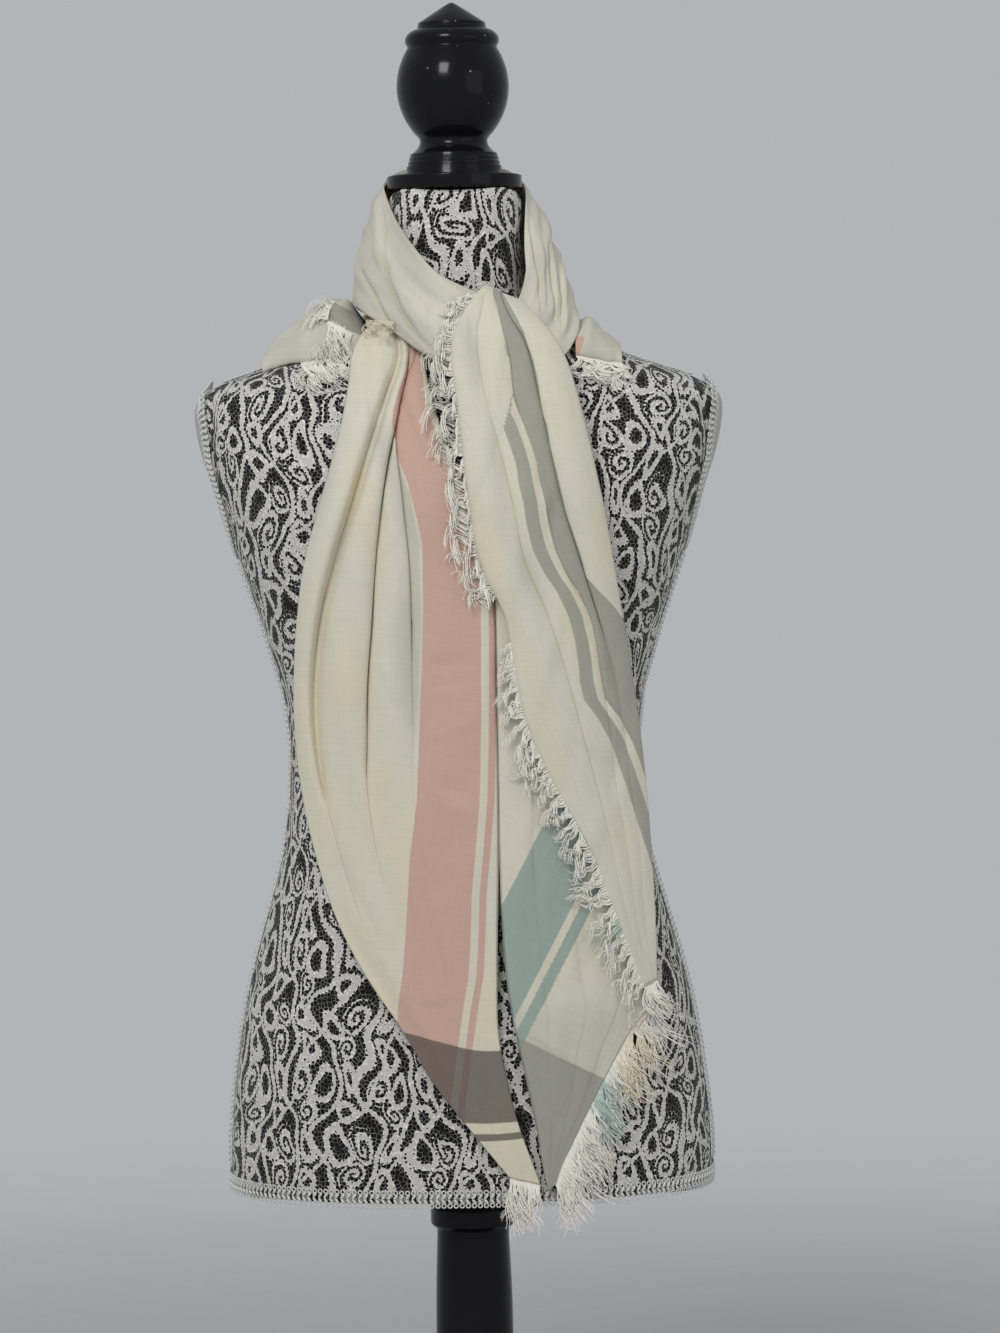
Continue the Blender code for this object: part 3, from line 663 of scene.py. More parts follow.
def lace_group() -> NodeTree:
    """Scroll lace: where its bands and net cover the ground, their relief and their shade."""
    sockets = Sockets({"Place": VECTOR}, {"Cover": VALUE, "Height": VALUE, "Shade": VALUE})
    w, given, out = new_group("scroll_lace", sockets)
    place = w.vector("MULTIPLY", given.outputs["Place"], (1000.0, 1000.0, 0.0))
    drift = w.add("ShaderNodeTexNoise", noise_dimensions="2D")
    w.put(drift.inputs["Vector"], place)
    w.put(drift.inputs["Scale"], 1 / 46)
    w.put(drift.inputs["Detail"], 1.0)
    shift = w.vector("MULTIPLY", w.vector("SUBTRACT", drift.outputs[1], (0.5, 0.5, 0.5)), (26.0, 26.0, 0.0))
    rough = w.times(w.minus(w.noise(place, 0.55, 2.0), 0.5), 1.3)
    net = w.voronoi(place, 1 / 3.2, "DISTANCE_TO_EDGE").outputs["Distance"]
    scalloped = w.math("MULTIPLY_ADD", net, 3.4, w.minus(rough, 0.72))
    distance = w.plus(LacePattern(w).distance(w.vector("ADD", place, shift)), scalloped)
    inside = w.step(distance, 0.1, -0.4)
    near = w.mix_value(w.step(distance, 3.6, 0.8), 0.08, 0.56)
    thread = w.times(w.step(net, 0.055, 0.025), near)
    cord = w.times(w.step(distance, 0.3, -0.1), w.step(distance, -1.1, -0.7))
    grain = w.noise(place, 1.2, 3.0)
    w.put(out.inputs["Cover"], w.math("MAXIMUM", inside, thread))
    filled = w.times(w.minus(grain, 0.42), 2.2)
    w.put(out.inputs["Shade"], w.math("MAXIMUM", cord, filled, clamp=True))
    relief = w.plus(w.times(inside, 0.8), w.times(cord, 0.5))
    relief = w.plus(relief, w.times(thread, 0.3))
    w.put(out.inputs["Height"], w.plus(relief, w.times(grain, 0.35)))
    return w.tree


@dataclass(frozen=True)
class ClothFinish:
    """Soft matte cloth with border stripes."""

    ground: Rgb = (0.74, 0.71, 0.585)
    # The cooler colour also serves as painted shade.
    cool_and_shade: Rgb = (0.60, 0.578, 0.478)
    # The warmer colour also paints the shade inside a crease.
    warm_and_crease_shade: Rgb = (0.77, 0.70, 0.52)
    rose: Rgb = (0.66, 0.44, 0.35)
    mint: Rgb = (0.37, 0.45, 0.395)
    sage: Rgb = (0.33, 0.335, 0.28)
    taupe: Rgb = (0.115, 0.10, 0.088)

    def material(self, stripe: NodeTree, weave: NodeTree) -> Material:
        """Build the cloth's material.

        Args:
            stripe: The group of one border stripe.
            weave: The group of the plain weave.

        Returns:
            The material, which reads the UV map square and the attribute tone, which also holds painted
            shade.
        """
        material, w, shader = new_material("striped_cotton", 0.92)
        place = w.uv("square")
        x, y, _ = w.split(w.vector("MULTIPLY", place, (1000.0, 1000.0, 0.0)))
        tone = w.attribute("tone").outputs["Fac"]
        patch = w.times(w.minus(w.noise(place, 14.0, 3.0), 0.5), 0.8)
        tone = w.plus(tone, patch)
        # Above zero the cloth mixes towards the warmer colour, which also paints the brown shade inside the
        # rose tail's first crease.
        ground = w.mix(w.step(tone, 0.0, 1.0), self.ground, self.warm_and_crease_shade)
        # Below zero the cloth mixes towards the cooler colour, which also paints shade on the neck loop and
        # on the rose tail's outer lobe.
        ground = w.mix(w.step(tone, 0.0, -1.0), ground, self.cool_and_shade)
        colour = ground
        for along, from_end, dye in ((x, False, self.mint), (x, True, self.rose)):
            distance = w.minus(SQUARE, along) if from_end else along
            mask = w.place_group(stripe, Distance=distance).outputs["Mask"]
            colour = w.mix(mask, colour, dye)
        for along, from_end, dye in ((y, False, self.sage), (y, True, self.taupe)):
            distance = w.minus(SQUARE, along) if from_end else along
            mask = w.place_group(stripe, Distance=distance).outputs["Mask"]
            colour = w.mix(mask, colour, w.mix(0.82, colour, dye))
        woven = w.place_group(weave, Place=place, Pitch=0.9)
        slub = w.times(woven.outputs["Slub"], 0.13)
        shade = w.plus(1.0, slub)
        colour = w.mix(1.0, colour, w.combine(shade, shade, shade), "MULTIPLY")
        w.put(shader.inputs["Base Color"], colour)
        shader.inputs["Sheen Weight"].default_value = 0.12
        shader.inputs["Sheen Roughness"].default_value = 0.6
        shader.inputs["Specular IOR Level"].default_value = 0.15
        height = w.plus(w.times(woven.outputs["Height"], 0.25), w.noise(place, 90.0, 3.0))
        w.put(shader.inputs["Normal"], w.bump(height, 0.35, 0.6))
        return material


@dataclass(frozen=True)
class ThreadFinish:
    """Loose fringe threads."""

    def material(self) -> Material:
        """Build the threads' material, which reads the attribute dye."""
        material, w, shader = new_material("fringe_thread", 0.85)
        dye = w.attribute("dye").outputs["Color"]
        fleck = w.noise(w.add("ShaderNodeTexCoord").outputs["Object"], 900.0, 1.0)
        shade = w.plus(w.times(fleck, 0.3), 0.85)
        w.put(shader.inputs["Base Color"], w.mix(1.0, dye, w.combine(shade, shade, shade), "MULTIPLY"))
        shader.inputs["Sheen Weight"].default_value = 0.3
        shader.inputs["Specular IOR Level"].default_value = 0.25
        return material


@dataclass(frozen=True)
class LaceFinish:
    """White scroll lace over black cloth."""

    ground: Rgb = (0.004, 0.004, 0.0038)
    thread: Rgb = (0.56, 0.55, 0.51)
    cord: Rgb = (0.90, 0.885, 0.83)

    def material(self, lace: NodeTree) -> Material:
        """Build the cover's material, which reads the UV map wrap and the attribute plain."""
        material, w, shader = new_material("scroll_lace_cover", 0.88)
        made = w.place_group(lace, Place=w.uv("wrap"))
        plain = w.attribute("plain").outputs["Fac"]
        cover = w.math("MAXIMUM", made.outputs["Cover"], w.step(plain, 0.4, 0.6))
        white = w.mix(made.outputs["Shade"], self.thread, self.cord)
        white = w.mix(w.step(plain, 0.4, 0.6), white, (0.50, 0.49, 0.455))
        w.put(shader.inputs["Base Color"], w.mix(cover, self.ground, white))
        shader.inputs["Specular IOR Level"].default_value = 0.2
        shader.inputs["Sheen Weight"].default_value = 0.1
        height = w.mix(w.step(plain, 0.4, 0.6), made.outputs["Height"], (1.0, 1.0, 1.0))
        w.put(shader.inputs["Normal"], w.bump(height, 0.8, 0.7))
        return material


@dataclass(frozen=True)
class BraidFinish:
    """White gimp braid."""

    colour: Rgb = (0.74, 0.735, 0.70)

    def material(self) -> Material:
        """Build the braid's material."""
        material, w, shader = new_material("gimp_braid", 0.7)
        place = w.add("ShaderNodeTexCoord").outputs["Object"]
        fleck = w.plus(w.times(w.noise(place, 700.0, 2.0), 0.4), 0.8)
        colour = w.mix(1.0, self.colour, w.combine(fleck, fleck, fleck), "MULTIPLY")
        w.put(shader.inputs["Base Color"], colour)
        w.put(shader.inputs["Normal"], w.bump(w.noise(place, 1800.0, 2.0), 0.4, 0.2))
        shader.inputs["Sheen Weight"].default_value = 0.2
        return material


@dataclass(frozen=True)
class LacquerFinish:
    """Black lacquer over turned wood, with small worn chips."""

    black: Rgb = (0.006, 0.006, 0.007)
    wood: Rgb = (0.30, 0.27, 0.24)

    def material(self, name: str, worn: float) -> Material:
        """Build a lacquer.

        Args:
            name: The material's name.
            worn: How far chips reach, from 0 for none.

        Returns:
            The material.
        """
        material, w, shader = new_material(name, 0.25)
        shader.inputs["Specular IOR Level"].default_value = 0.12
        place = w.add("ShaderNodeTexCoord").outputs["Object"]
        cloud = w.noise(place, 40.0, 4.0)
        w.put(shader.inputs["Roughness"], w.plus(w.times(cloud, 0.1), 0.14))
        chips = w.step(w.noise(place, 260.0, 2.0), 0.82 - 0.06 * worn, 0.84 - 0.06 * worn)
        w.put(shader.inputs["Base Color"], w.mix(chips, self.black, self.wood))
        shader.inputs["Coat Weight"].default_value = 0.14
        shader.inputs["Coat Roughness"].default_value = 0.06
        x, y, z = w.split(place)
        rings = w.noise(w.combine(0.0, 0.0, w.times(z, 900.0)), 1.0, 2.0)
        grain = w.noise(w.vector("MULTIPLY", place, (500.0, 500.0, 60.0)), 1.0, 2.0)
        height = w.plus(rings, w.times(grain, 0.6))
        w.put(shader.inputs["Normal"], w.bump(height, 0.12, 0.3))
        return material


class Turn(NamedTuple):
    """One step of a turned outline. Soft steps are joined by a smooth curve."""

    radius: float
    z: float
    soft: bool = False


@dataclass
class TurnedPart:
    """A solid of turned wood."""

    name: str
    node: str
    outline: list[Turn]
    sides: int = 96
    edge: float = 0.5

    def build(self, finish: Material) -> Object:
        """Extrude and resize a disc up its outline.

        Args:
            finish: Its material.

        Returns:
            The turned piece, which replaces its node.
        """
        steps = self.fine_outline()
        deselect_all()
        bpy.ops.mesh.primitive_circle_add(
            vertices=self.sides,
            radius=steps[0][0] * MM,
            fill_type="NGON",
            location=(0.0, 0.0, steps[0][1] * MM),
        )
        obj = bpy.context.object
        obj.name = self.name
        bpy.ops.object.mode_set(mode="EDIT")
        bpy.ops.mesh.select_all(action="SELECT")
        for (radius, z), (next_radius, next_z) in zip(steps, steps[1:]):
            rise = (0.0, 0.0, (next_z - z) * MM)
            bpy.ops.mesh.extrude_region_move(TRANSFORM_OT_translate={"value": rise})
            grow = next_radius / radius
            centre = (0.0, 0.0, next_z * MM)
            bpy.ops.transform.resize(value=(grow, grow, 1.0), center_override=centre)
        bpy.ops.mesh.select_all(action="SELECT")
        bpy.ops.mesh.normals_make_consistent(inside=False)
        bpy.ops.object.mode_set(mode="OBJECT")
        bpy.ops.object.transform_apply(location=True, rotation=True, scale=True)
        edge = obj.modifiers.new("edge", "BEVEL")
        edge.width = self.edge * MM
        edge.segments = 2
        edge.limit_method = "ANGLE"
        edge.angle_limit = math.radians(28)
        apply_modifiers(obj)
        bpy.ops.object.shade_smooth_by_angle(angle=math.radians(32))
        obj.data.materials.append(finish)
        return dress(obj, "wood", self.node)

    def fine_outline(self) -> list[tuple[float, float]]:
        """The outline with its soft stretches filled in."""
        fine: list[tuple[float, float]] = []
        run: list[Turn] = []
        for step in [*self.outline, None]:
            if step is not None and step.soft:
                run.append(step)
                continue
            if run:
                table = smooth_table([(s.radius, s.z) for s in run], 6 * (len(run) - 1) + 1)
                fine.extend((float(r), float(z)) for r, z in table)
                run = []
            if step is not None:
                fine.append((step.radius, step.z))
        return fine


FINIAL_OUTLINE = rows_of(
    Turn,
    (47.5, 1027.3), (49.0, 1028.2), (49.0, 1036.8), (48.2, 1037.6), (34.6, 1037.8), (34.6, 1044.4),
    (33.4, 1044.8), (33.4, 1047.6), (32.6, 1048.0), (32.6, 1050.6), (32.0, 1051.0), (31.6, 1053.4),
    (30.0, 1054.2, True), (27.2, 1056.6, True), (25.0, 1060.0, True), (24.6, 1063.4, True),
    (26.0, 1065.8, True), (29.6, 1069.8, True), (35.6, 1079.4, True), (39.6, 1091.0, True),
    (40.8, 1102.5, True), (39.2, 1114.5, True), (35.6, 1124.5, True), (32.6, 1129.8),
    (32.4, 1130.6), (33.4, 1132.4, True), (34.2, 1135.0, True), (33.2, 1138.6, True),
    (30.0, 1141.8, True), (25.4, 1143.6, True), (25.0, 1144.2), (24.4, 1147.8),
    (13.2, 1155.2, True), (5.2, 1160.2, True), (1.6, 1162.2, True), (0.4, 1162.5, True),
)
FINIAL = TurnedPart("turned_finial", "form_finial", FINIAL_OUTLINE)
COLUMN_OUTLINE = rows_of(
    Turn,
    (38.5, 45.3), (40.0, 47.0), (40.0, 54.0), (38.0, 57.0, True), (34.0, 60.5, True), (33.0, 63.0),
    (31.0, 66.0, True), (29.5, 78.0, True), (28.0, 120.0, True), (28.4, 180.0, True),
    (28.0, 220.0, True), (26.5, 262.0, True), (26.5, 268.0), (29.0, 269.0), (31.0, 271.5, True),
    (31.0, 283.0, True), (29.5, 286.0), (28.0, 288.0), (28.0, 299.4),
)
COLUMN = TurnedPart("turned_column", "form_column", COLUMN_OUTLINE, sides=72)
BASE_OUTLINE = rows_of(
    Turn,
    (146.0, 0.0), (150.0, 3.5), (150.0, 16.0), (147.0, 19.5, True), (143.0, 22.0, True),
    (140.0, 23.0), (138.0, 25.5), (120.0, 30.0, True), (98.0, 34.0, True), (76.0, 38.5, True),
    (62.0, 42.5, True), (57.0, 43.6), (54.0, 45.0),
)
BASE = TurnedPart("turned_base", "form_base", BASE_OUTLINE, sides=128)


class ArmSpot(NamedTuple):
    """One point of an armhole's front half."""

    y: float
    z: float


ARM_FRONT = rows_of(
    ArmSpot,
    (0.0, 886.0), (-20.0, 883.0), (-34.0, 873.0), (-40.0, 853.0), (-39.0, 833.0), (-36.0, 815.0),
    (-31.0, 798.0), (-22.0, 781.0), (-10.0, 768.0),
)


@dataclass
class DressForm:
    """The torso in its lace, with braid round its hem, its armholes and down its sides."""

    lace: Material
    braid: Material
    braid_pitch: float = 4.3
    lift: float = 0.2
    arm_lift: float = 0.4
    hem_z: float = 308.0
    hem_depth: float = 113.2
    side_y: float = -10.0
    plate_x: float = 140.0
    plate_rim: float = 4.0
    back_shift: float = 900.0
    shoulder_z: float = 800.0
    steps: int = 25

    def build_cover(self, frame: dict) -> Object:
        """Dress the torso: its solid, merged and smoothed, with the lace wrapped round it.


        Returns:
            The cover, which replaces the torso's node.
        """
        mesh = frame["nodes"]["form_torso"].data.copy()
        mesh.name = "lace_cover"
        mesh.materials.clear()
        obj = bpy.data.objects.new("lace_cover", mesh)
        bpy.context.scene.collection.objects.link(obj)
        make_active(obj)
        bpy.ops.object.mode_set(mode="EDIT")
        bpy.ops.mesh.select_all(action="SELECT")
        bpy.ops.mesh.remove_doubles(threshold=0.01 * MM)
        bpy.ops.mesh.tris_convert_to_quads(face_threshold=math.radians(60), shape_threshold=math.radians(60))
        bpy.ops.object.mode_set(mode="OBJECT")
        smooth = obj.modifiers.new("smooth", "SUBSURF")
        smooth.levels = smooth.render_levels = 2
        apply_modifiers(obj)
        for layer in list(mesh.uv_layers):
            mesh.uv_layers.remove(layer)
        mesh.shade_smooth()
        mesh.materials.append(self.lace)
        self.wrap_lace(mesh)
        return dress(obj, "form_cover", "form_torso")

    def wrap_lace(self, mesh: Mesh) -> None:
        """Lay the lace's UV map and mark the plain plates at the arms."""
        count = len(mesh.vertices)
        points = np.empty(count * 3, np.float32)
        mesh.vertices.foreach_get("co", points)
        x, y, z = (points.reshape(-1, 3) / MM).T.astype(float)
        across = self.length_across(x, z)
        up = self.length_up(x, z)
        corners = np.empty(len(mesh.loops), np.int32)
        mesh.loops.foreach_get("vertex_index", corners)
        behind = np.zeros(len(corners))
        for face in mesh.polygons:
            if face.center.y > 0.0:
                behind[face.loop_start : face.loop_start + face.loop_total] = self.back_shift
        layer = mesh.uv_layers.new(name="wrap")
        wrap = np.stack((across[corners] + behind, up[corners]), axis=1) * MM
        layer.data.foreach_set("uv", wrap.astype(np.float32).ravel())
        edge_y, edge_z = np.array(ARM_FRONT[::-1]).T
        reach = -np.interp(z, edge_z, edge_y, left=0.0, right=0.0)
        inside = (np.abs(x) > self.plate_x) & (z > edge_z[0])
        rim = smooth_step(reach - np.abs(y), -self.plate_rim, self.plate_rim)
        plain = np.where(inside, rim, 0.0)
        attribute = mesh.attributes.new("plain", "FLOAT", "POINT")
        attribute.data.foreach_set("value", plain.astype(np.float32))

    def length_across(self, x: Grid, z: Grid) -> Grid:
        """Length along each level from the middle of the front to x."""
        lines_x = x[:, None] * np.linspace(0.0, 1.0, self.steps)
        lines_y = FORM.depth(lines_x, z[:, None], False)
        lengths = np.hypot(np.diff(lines_x), np.diff(lines_y)).sum(axis=1)
        return np.copysign(lengths, x)

    def length_up(self, x: Grid, z: Grid) -> Grid:
        """Length up the form at each x, from where its shoulders begin."""
        start = self.shoulder_z
        rise = (np.maximum(z, start) - start)[:, None]
        lines_z = start + rise * np.linspace(0.0, 1.0, self.steps)
        lines_y = FORM.depth(x[:, None], lines_z, False)
        lengths = np.hypot(np.diff(lines_z), np.diff(lines_y)).sum(axis=1)
        return np.minimum(z, start) + lengths

    def braid_unit(self) -> tuple[Grid, list[tuple[int, ...]]]:
        """Model one repeat of the braid: a loop at each edge and a chevron of two strands.

        Returns:
            Its points in millimetres and its faces. X runs along the braid and Z off the form.
        """
        deselect_all()
        parts = []
        for side in (-1.0, 1.0):
            bpy.ops.mesh.primitive_torus_add(
                location=(0.0, side * 4.6 * MM, 0.5 * MM),
                major_radius=1.5 * MM,
                minor_radius=0.55 * MM,
                major_segments=9,
                minor_segments=4,
            )
            parts.append(bpy.context.object)
            bpy.ops.mesh.primitive_uv_sphere_add(
                segments=6,
                ring_count=4,
                radius=1.0 * MM,
                location=(0.0, side * 1.75 * MM, 0.8 * MM),
                rotation=(0.0, 0.0, side * math.radians(-38)),
                scale=(1.0, 2.6, 0.9),
            )
            parts.append(bpy.context.object)
        deselect_all()
        for part in parts:
            part.select_set(True)
        bpy.context.view_layer.objects.active = parts[0]
        bpy.ops.object.join()
        link = bpy.context.object
        bpy.ops.object.transform_apply(location=True, rotation=True, scale=True)
        points = np.array([v.co[:] for v in link.data.vertices]) / MM
        faces = [tuple(face.vertices) for face in link.data.polygons]
        bpy.data.objects.remove(link, do_unlink=True)
        return points, faces

    def lay_braid(self, name: str, path: Grid, outward: Grid, closed: bool) -> Object:
        """Lay the braid's repeats along a path.

        Args:
            name: The piece's name.
            path: Points along the middle of the braid, in millimetres.
            outward: The way off the form at each point.
            closed: Whether the path returns to its start.

        Returns:
            The braid as one mesh.
        """
        link, link_faces = self.braid_unit()
        lengths = lengths_along(path)
        count = round(lengths[-1] / self.braid_pitch)
        spots = (np.arange(count) + 0.5) * lengths[-1] / count
        centre = read_along(spots, lengths, path)
        off = unit(read_along(spots, lengths, outward))
        if closed:
            along = np.roll(centre, -1, axis=0) - np.roll(centre, 1, axis=0)
        else:
            along = np.gradient(centre, axis=0)
        along = unit(along - off * (along * off).sum(axis=1, keepdims=True))
        side = np.cross(off, along)
        axes = np.stack((along, side, off), axis=1)
        placed = centre[:, None, :] + np.einsum("pk,ukd->upd", link, axes)
        faces = []
        for number in range(count):
            start = number * len(link)
            faces.extend(tuple(start + k for k in face) for face in link_faces)
        return dress(new_object(name, placed.reshape(-1, 3), faces, self.braid), "form_cover")

    def surface_x(self, y: Grid, z: Grid) -> Grid:
        """How far out the form's side stands at each depth and height."""
        deep = np.where(y > 0, FORM.column(z, "back"), FORM.column(z, "front"))
        share = np.clip(np.abs(y) / deep, 0.0, 1.0)
        return FORM.half_width(z) * (1.0 - share**FORM_POWER) ** (1.0 / FORM_POWER)

    def build_braids(self) -> list[Object]:
        """Lay every braid.

        Returns:
            The hem's braid, and for each side the armhole's, the side seam's and the shoulder's.
        """
        made = [self.hem_braid()]
        for side, word in ((-1.0, "left"), (1.0, "right")):
            made.append(self.arm_braid(side, f"arm_braid_{word}"))
            made.append(self.side_braid(side, f"side_braid_{word}"))
            made.append(self.shoulder_braid(side, f"shoulder_braid_{word}"))
        return made

    def hem_braid(self) -> Object:
        """Lay the braid round the hem."""
        angle = np.linspace(0.0, math.tau, 241)
        cosine, sine = np.cos(angle), np.sin(angle)
        wide = float(FORM.half_width(np.array(self.hem_z)))
        x = np.sign(cosine) * np.abs(cosine) ** (2 / FORM_POWER) * wide
        y = np.sign(sine) * np.abs(sine) ** (2 / FORM_POWER) * self.hem_depth
        path = np.stack((x, y, np.full_like(x, self.hem_z)), axis=1)
        outward = unit(np.stack((cosine / wide, sine / self.hem_depth, np.zeros_like(x)), axis=1))
        return self.lay_braid("hem_braid", path + outward * self.lift, outward, True)

    def arm_braid(self, side: float, name: str) -> Object:
        """Lay the braid round one armhole."""
        front = smooth_table(ARM_FRONT, 60)
        back = front[::-1][1:-1] * np.array((-1.0, 1.0))
        y, z = np.concatenate((front, back, front[:1])).T
        x = self.surface_x(y, z) * side
        path = np.stack((x, y, z), axis=1)
        outward = unit(np.stack((np.full_like(x, side), y / 90.0, (z - 835.0) / 160.0), axis=1))
        return self.lay_braid(name, path + outward * self.arm_lift, outward, True)

    def side_braid(self, side: float, name: str) -> Object:
        """Lay the braid down one side seam."""
        z = np.linspace(762.0, 318.0, 120)
        y = np.full_like(z, self.side_y)
        x = self.surface_x(y, z) * side
        path = np.stack((x, y, z), axis=1)
        outward = unit(np.stack((np.full_like(z, side), y / 60.0, np.zeros_like(z)), axis=1))
        return self.lay_braid(name, path + outward * self.lift, outward, False)

    def shoulder_braid(self, side: float, name: str) -> Object:
        """Lay the braid along the top of one shoulder."""
        z = np.linspace(890.0, 926.0, 30)
        x = FORM.half_width(z) * side
        path = np.stack((x, np.zeros_like(z), z), axis=1)
        outward = unit(np.tile(np.array((0.3 * side, 0.0, 1.0)), (len(z), 1)))
        return self.lay_braid(name, path + outward * self.lift, outward, False)


class Stretch:
    """A stretch of cloth, which hangs as its own grid says."""

    name: str
    nodes: tuple[str, ...]

    def grid(self) -> ClothGrid:
        """Work out where each point hangs."""
        raise NotImplementedError

    def build(self, finish: Material) -> Object:
        """Hang the stretch.

        Args:
            finish: The cloth's material.

        Returns:
            The shell, which replaces the stretch's nodes.
        """
        return dress(sheet_object(self.name, self.grid(), finish), "scarf_cloth", *self.nodes)


class TailRow(NamedTuple):
    """One level of a hanging tail: heights of its ends, lift, edges, creases and lobes."""

    z_left: float
    z_right: float
    lift: float
    left: float
    crease_1: float
    crease_2: float
    crease_3: float
    right: float
    puff_1: float
    puff_2: float
    puff_3: float
    puff_4: float


LEFT_TAIL = rows_of(
    TailRow,
    (936, 926, 2.0, -50, -43, -36, -29, -22, 2, 2, 2, 1),
    (925, 916, 3.0, -65, -42, -34, -29, -22, 5, 4, 2, 1),
    (909, 902, 4.2, -74, -41, -34, -30, -23, 7, 6, 2, 2),
    (885, 881, 4.6, -77, -49, -38, -40, -19, 9, 8, 1, 5),
    (850, 850, 4.6, -84, -60, -47, -44, -10, 9, 9, 2, 5),
    (806, 806, 4.6, -97, -74, -55, -40, 9, 10, 11, 4, 4),
    (760, 760, 4.6, -110, -89, -61, -36, 20, 11, 12, 4, 3),
    (720, 720, 4.6, -116, -99, -64, -35, 24, 10, 12, 4, 3),
    (680, 680, 4.6, -119, -104, -67, -35, 24, 8, 11, 4, 3),
    (640, 640, 4.6, -119, -104, -68, -35, 24, 6, 8, 2, 3),
    (600, 600, 4.6, -115, -99, -68, -36, 24, 3, 4, 1.2, 2),
    (555, 555, 4.6, -106, -88, -62, -32, 23.4, 0.8, 1.4, 0.4, 0.9),
    (510, 510, 4.6, -92, -74, -52, -26, 22, 0.3, 0.4, 0.1, 0.3),
    (470, 470, 4.6, -72, -56, -38, -16, 21, 0.1, 0.2, 0.1, 0.2),
    (430, 430, 4.6, -46, -34, -20, -4, 21, 0.1, 0.1, 0.1, 0.1),
    (393, 396, 4.6, -25, -15, -4, 8, 26, 0.1, 0.1, 0.1, 0.1),
    (357, 362, 4.4, 2, 9, 16, 24, 34, 0.1, 0.1, 0.1, 0.1),
    (324, 318, 4.0, 28, 33, 38, 43, 49, 0.1, 0.1, 0.1, 0.1),
)
RIGHT_TAIL = rows_of(
    TailRow,
    (938, 930, -12.0, 28, 30, 32, 35, 40, 0, 0, 0, 0),
    (947, 936, -6.0, 26, 28, 30, 34, 42, 0, 0, 0, 0),
    (953, 942, 4.0, 24, 26, 28, 33, 44, 0, 0, 0, 1),
    (955, 944, 15.0, 21, 24, 27, 32, 47, 1, 0, 1, 2),
    (949, 938, 26.0, 15, 20, 27, 34, 52, 2, 1, 1, 3),
    (938, 928, 32.0, 7, 18, 30, 39, 61, 3, 1, 2, 5),
    (922, 916, 32.0, -1, 15, 33, 48, 70, 4, 2, 2, 6),
    (902, 900, 28.0, -3, 16, 37, 54, 78, 5, 3, 2, 8),
    (876, 876, 21.0, 0, 20, 40, 59, 85, 5, 3, 2, 9),
    (846, 846, 15.0, 3, 28, 50, 65, 92, 6, 3, 2, 9),
    (802, 802, 12.0, 8, 38, 61, 74, 101, 6, 4, 2, 8),
    (760, 760, 11.5, 15, 46, 71, 86, 108, 6, 5, 2, 7),
    (720, 720, 11.5, 32, 62, 91, 97, 114, 6, 4, 2, 5),
    (680, 680, 11.5, 38, 74, 98, 107, 120, 4, 3, 2, 3),
    (640, 640, 11.0, 48, 84, 104, 114, 125, 3, 2, 1.5, 2),
    (600, 600, 10.5, 66, 94, 108, 118, 129, 2, 1.2, 1.5, 1.2),
    (555, 555, 10.5, 90, 104, 115, 124, 132, 1.2, 1, 1, 1),
    (508, 510, 10.5, 107, 114, 120, 126, 134, 1, 1, 0.6, 0.6),
    (456, 460, 10.0, 126, 128, 130, 132, 135, 0.5, 0.5, 0.5, 0),
)
RIGHT_UNDER = rows_of(
    TailRow,
    (742, 742, 3.6, 25, 46, 64, 84, 101, 0.6, 0.15, 0.15, 0.15),
    (720, 720, 4.2, 24.6, 46, 66, 86, 105, 0.8, 0.15, 0.15, 0.15),
    (680, 680, 4.6, 24.6, 46, 68, 90, 110, 1, 0.15, 0.15, 0.15),
    (640, 640, 4.6, 24.6, 46, 70, 93, 114, 1, 0.15, 0.15, 0.15),
    (600, 600, 4.6, 24.4, 48, 72, 96, 117, 1, 0.15, 0.15, 0.15),
    (555, 555, 4.6, 24.6, 48, 74, 99, 121, 1, 0.15, 0.15, 0.15),
    (510, 510, 4.6, 25.5, 50, 76, 101, 123, 0.8, 0.15, 0.15, 0.15),
    (466, 474, 4.6, 28, 53, 79, 104, 126, 0.8, 0.15, 0.15, 0.15),
    (432, 447, 4.6, 33, 57, 83, 106, 130, 0.8, 0.15, 0.15, 0),
    (397, 420, 4.6, 40, 56, 76, 94, 112, 0.3, 0.1, 0.1, 0),
    (361, 385, 4.6, 47, 58, 70, 81, 92, 0.2, 0.1, 0.1, 0),
    (328, 340, 4.2, 52, 56, 60, 64, 69, 0.3, 0, 0, 0),
    (314, 318, 4.0, 55, 56, 57, 58, 60, 0, 0, 0, 0),
)


class Gap(NamedTuple):
    """A deep crease: which one, where it opens and closes, its size and how far cloth laps over."""

    crease: int
    z_top: float
    z_foot: float
    width: float
    depth: float
    lap: float

    def fade(self, z: Grid) -> Grid:
        """How open the crease is at each height: 1 half way along and 0 at its ends."""
        middle, half = (self.z_top + self.z_foot) / 2, (self.z_top - self.z_foot) / 2
        return np.clip(1.0 - ((z - middle) / half) ** 2, 0.0, 1.0)


class Wrinkle(NamedTuple):
    """A soft ridge, or a trough where its height is below zero."""

    x: float
    z: float
    length: float
    width: float
    lean: float
    height: float


class Crease(NamedTuple):
    """A crease along a line of (x, z), with the cloth on its right raised over that on its left."""

    line: list[tuple[float, float]]
    depth: float
    width: float
    step: float
    reach: float


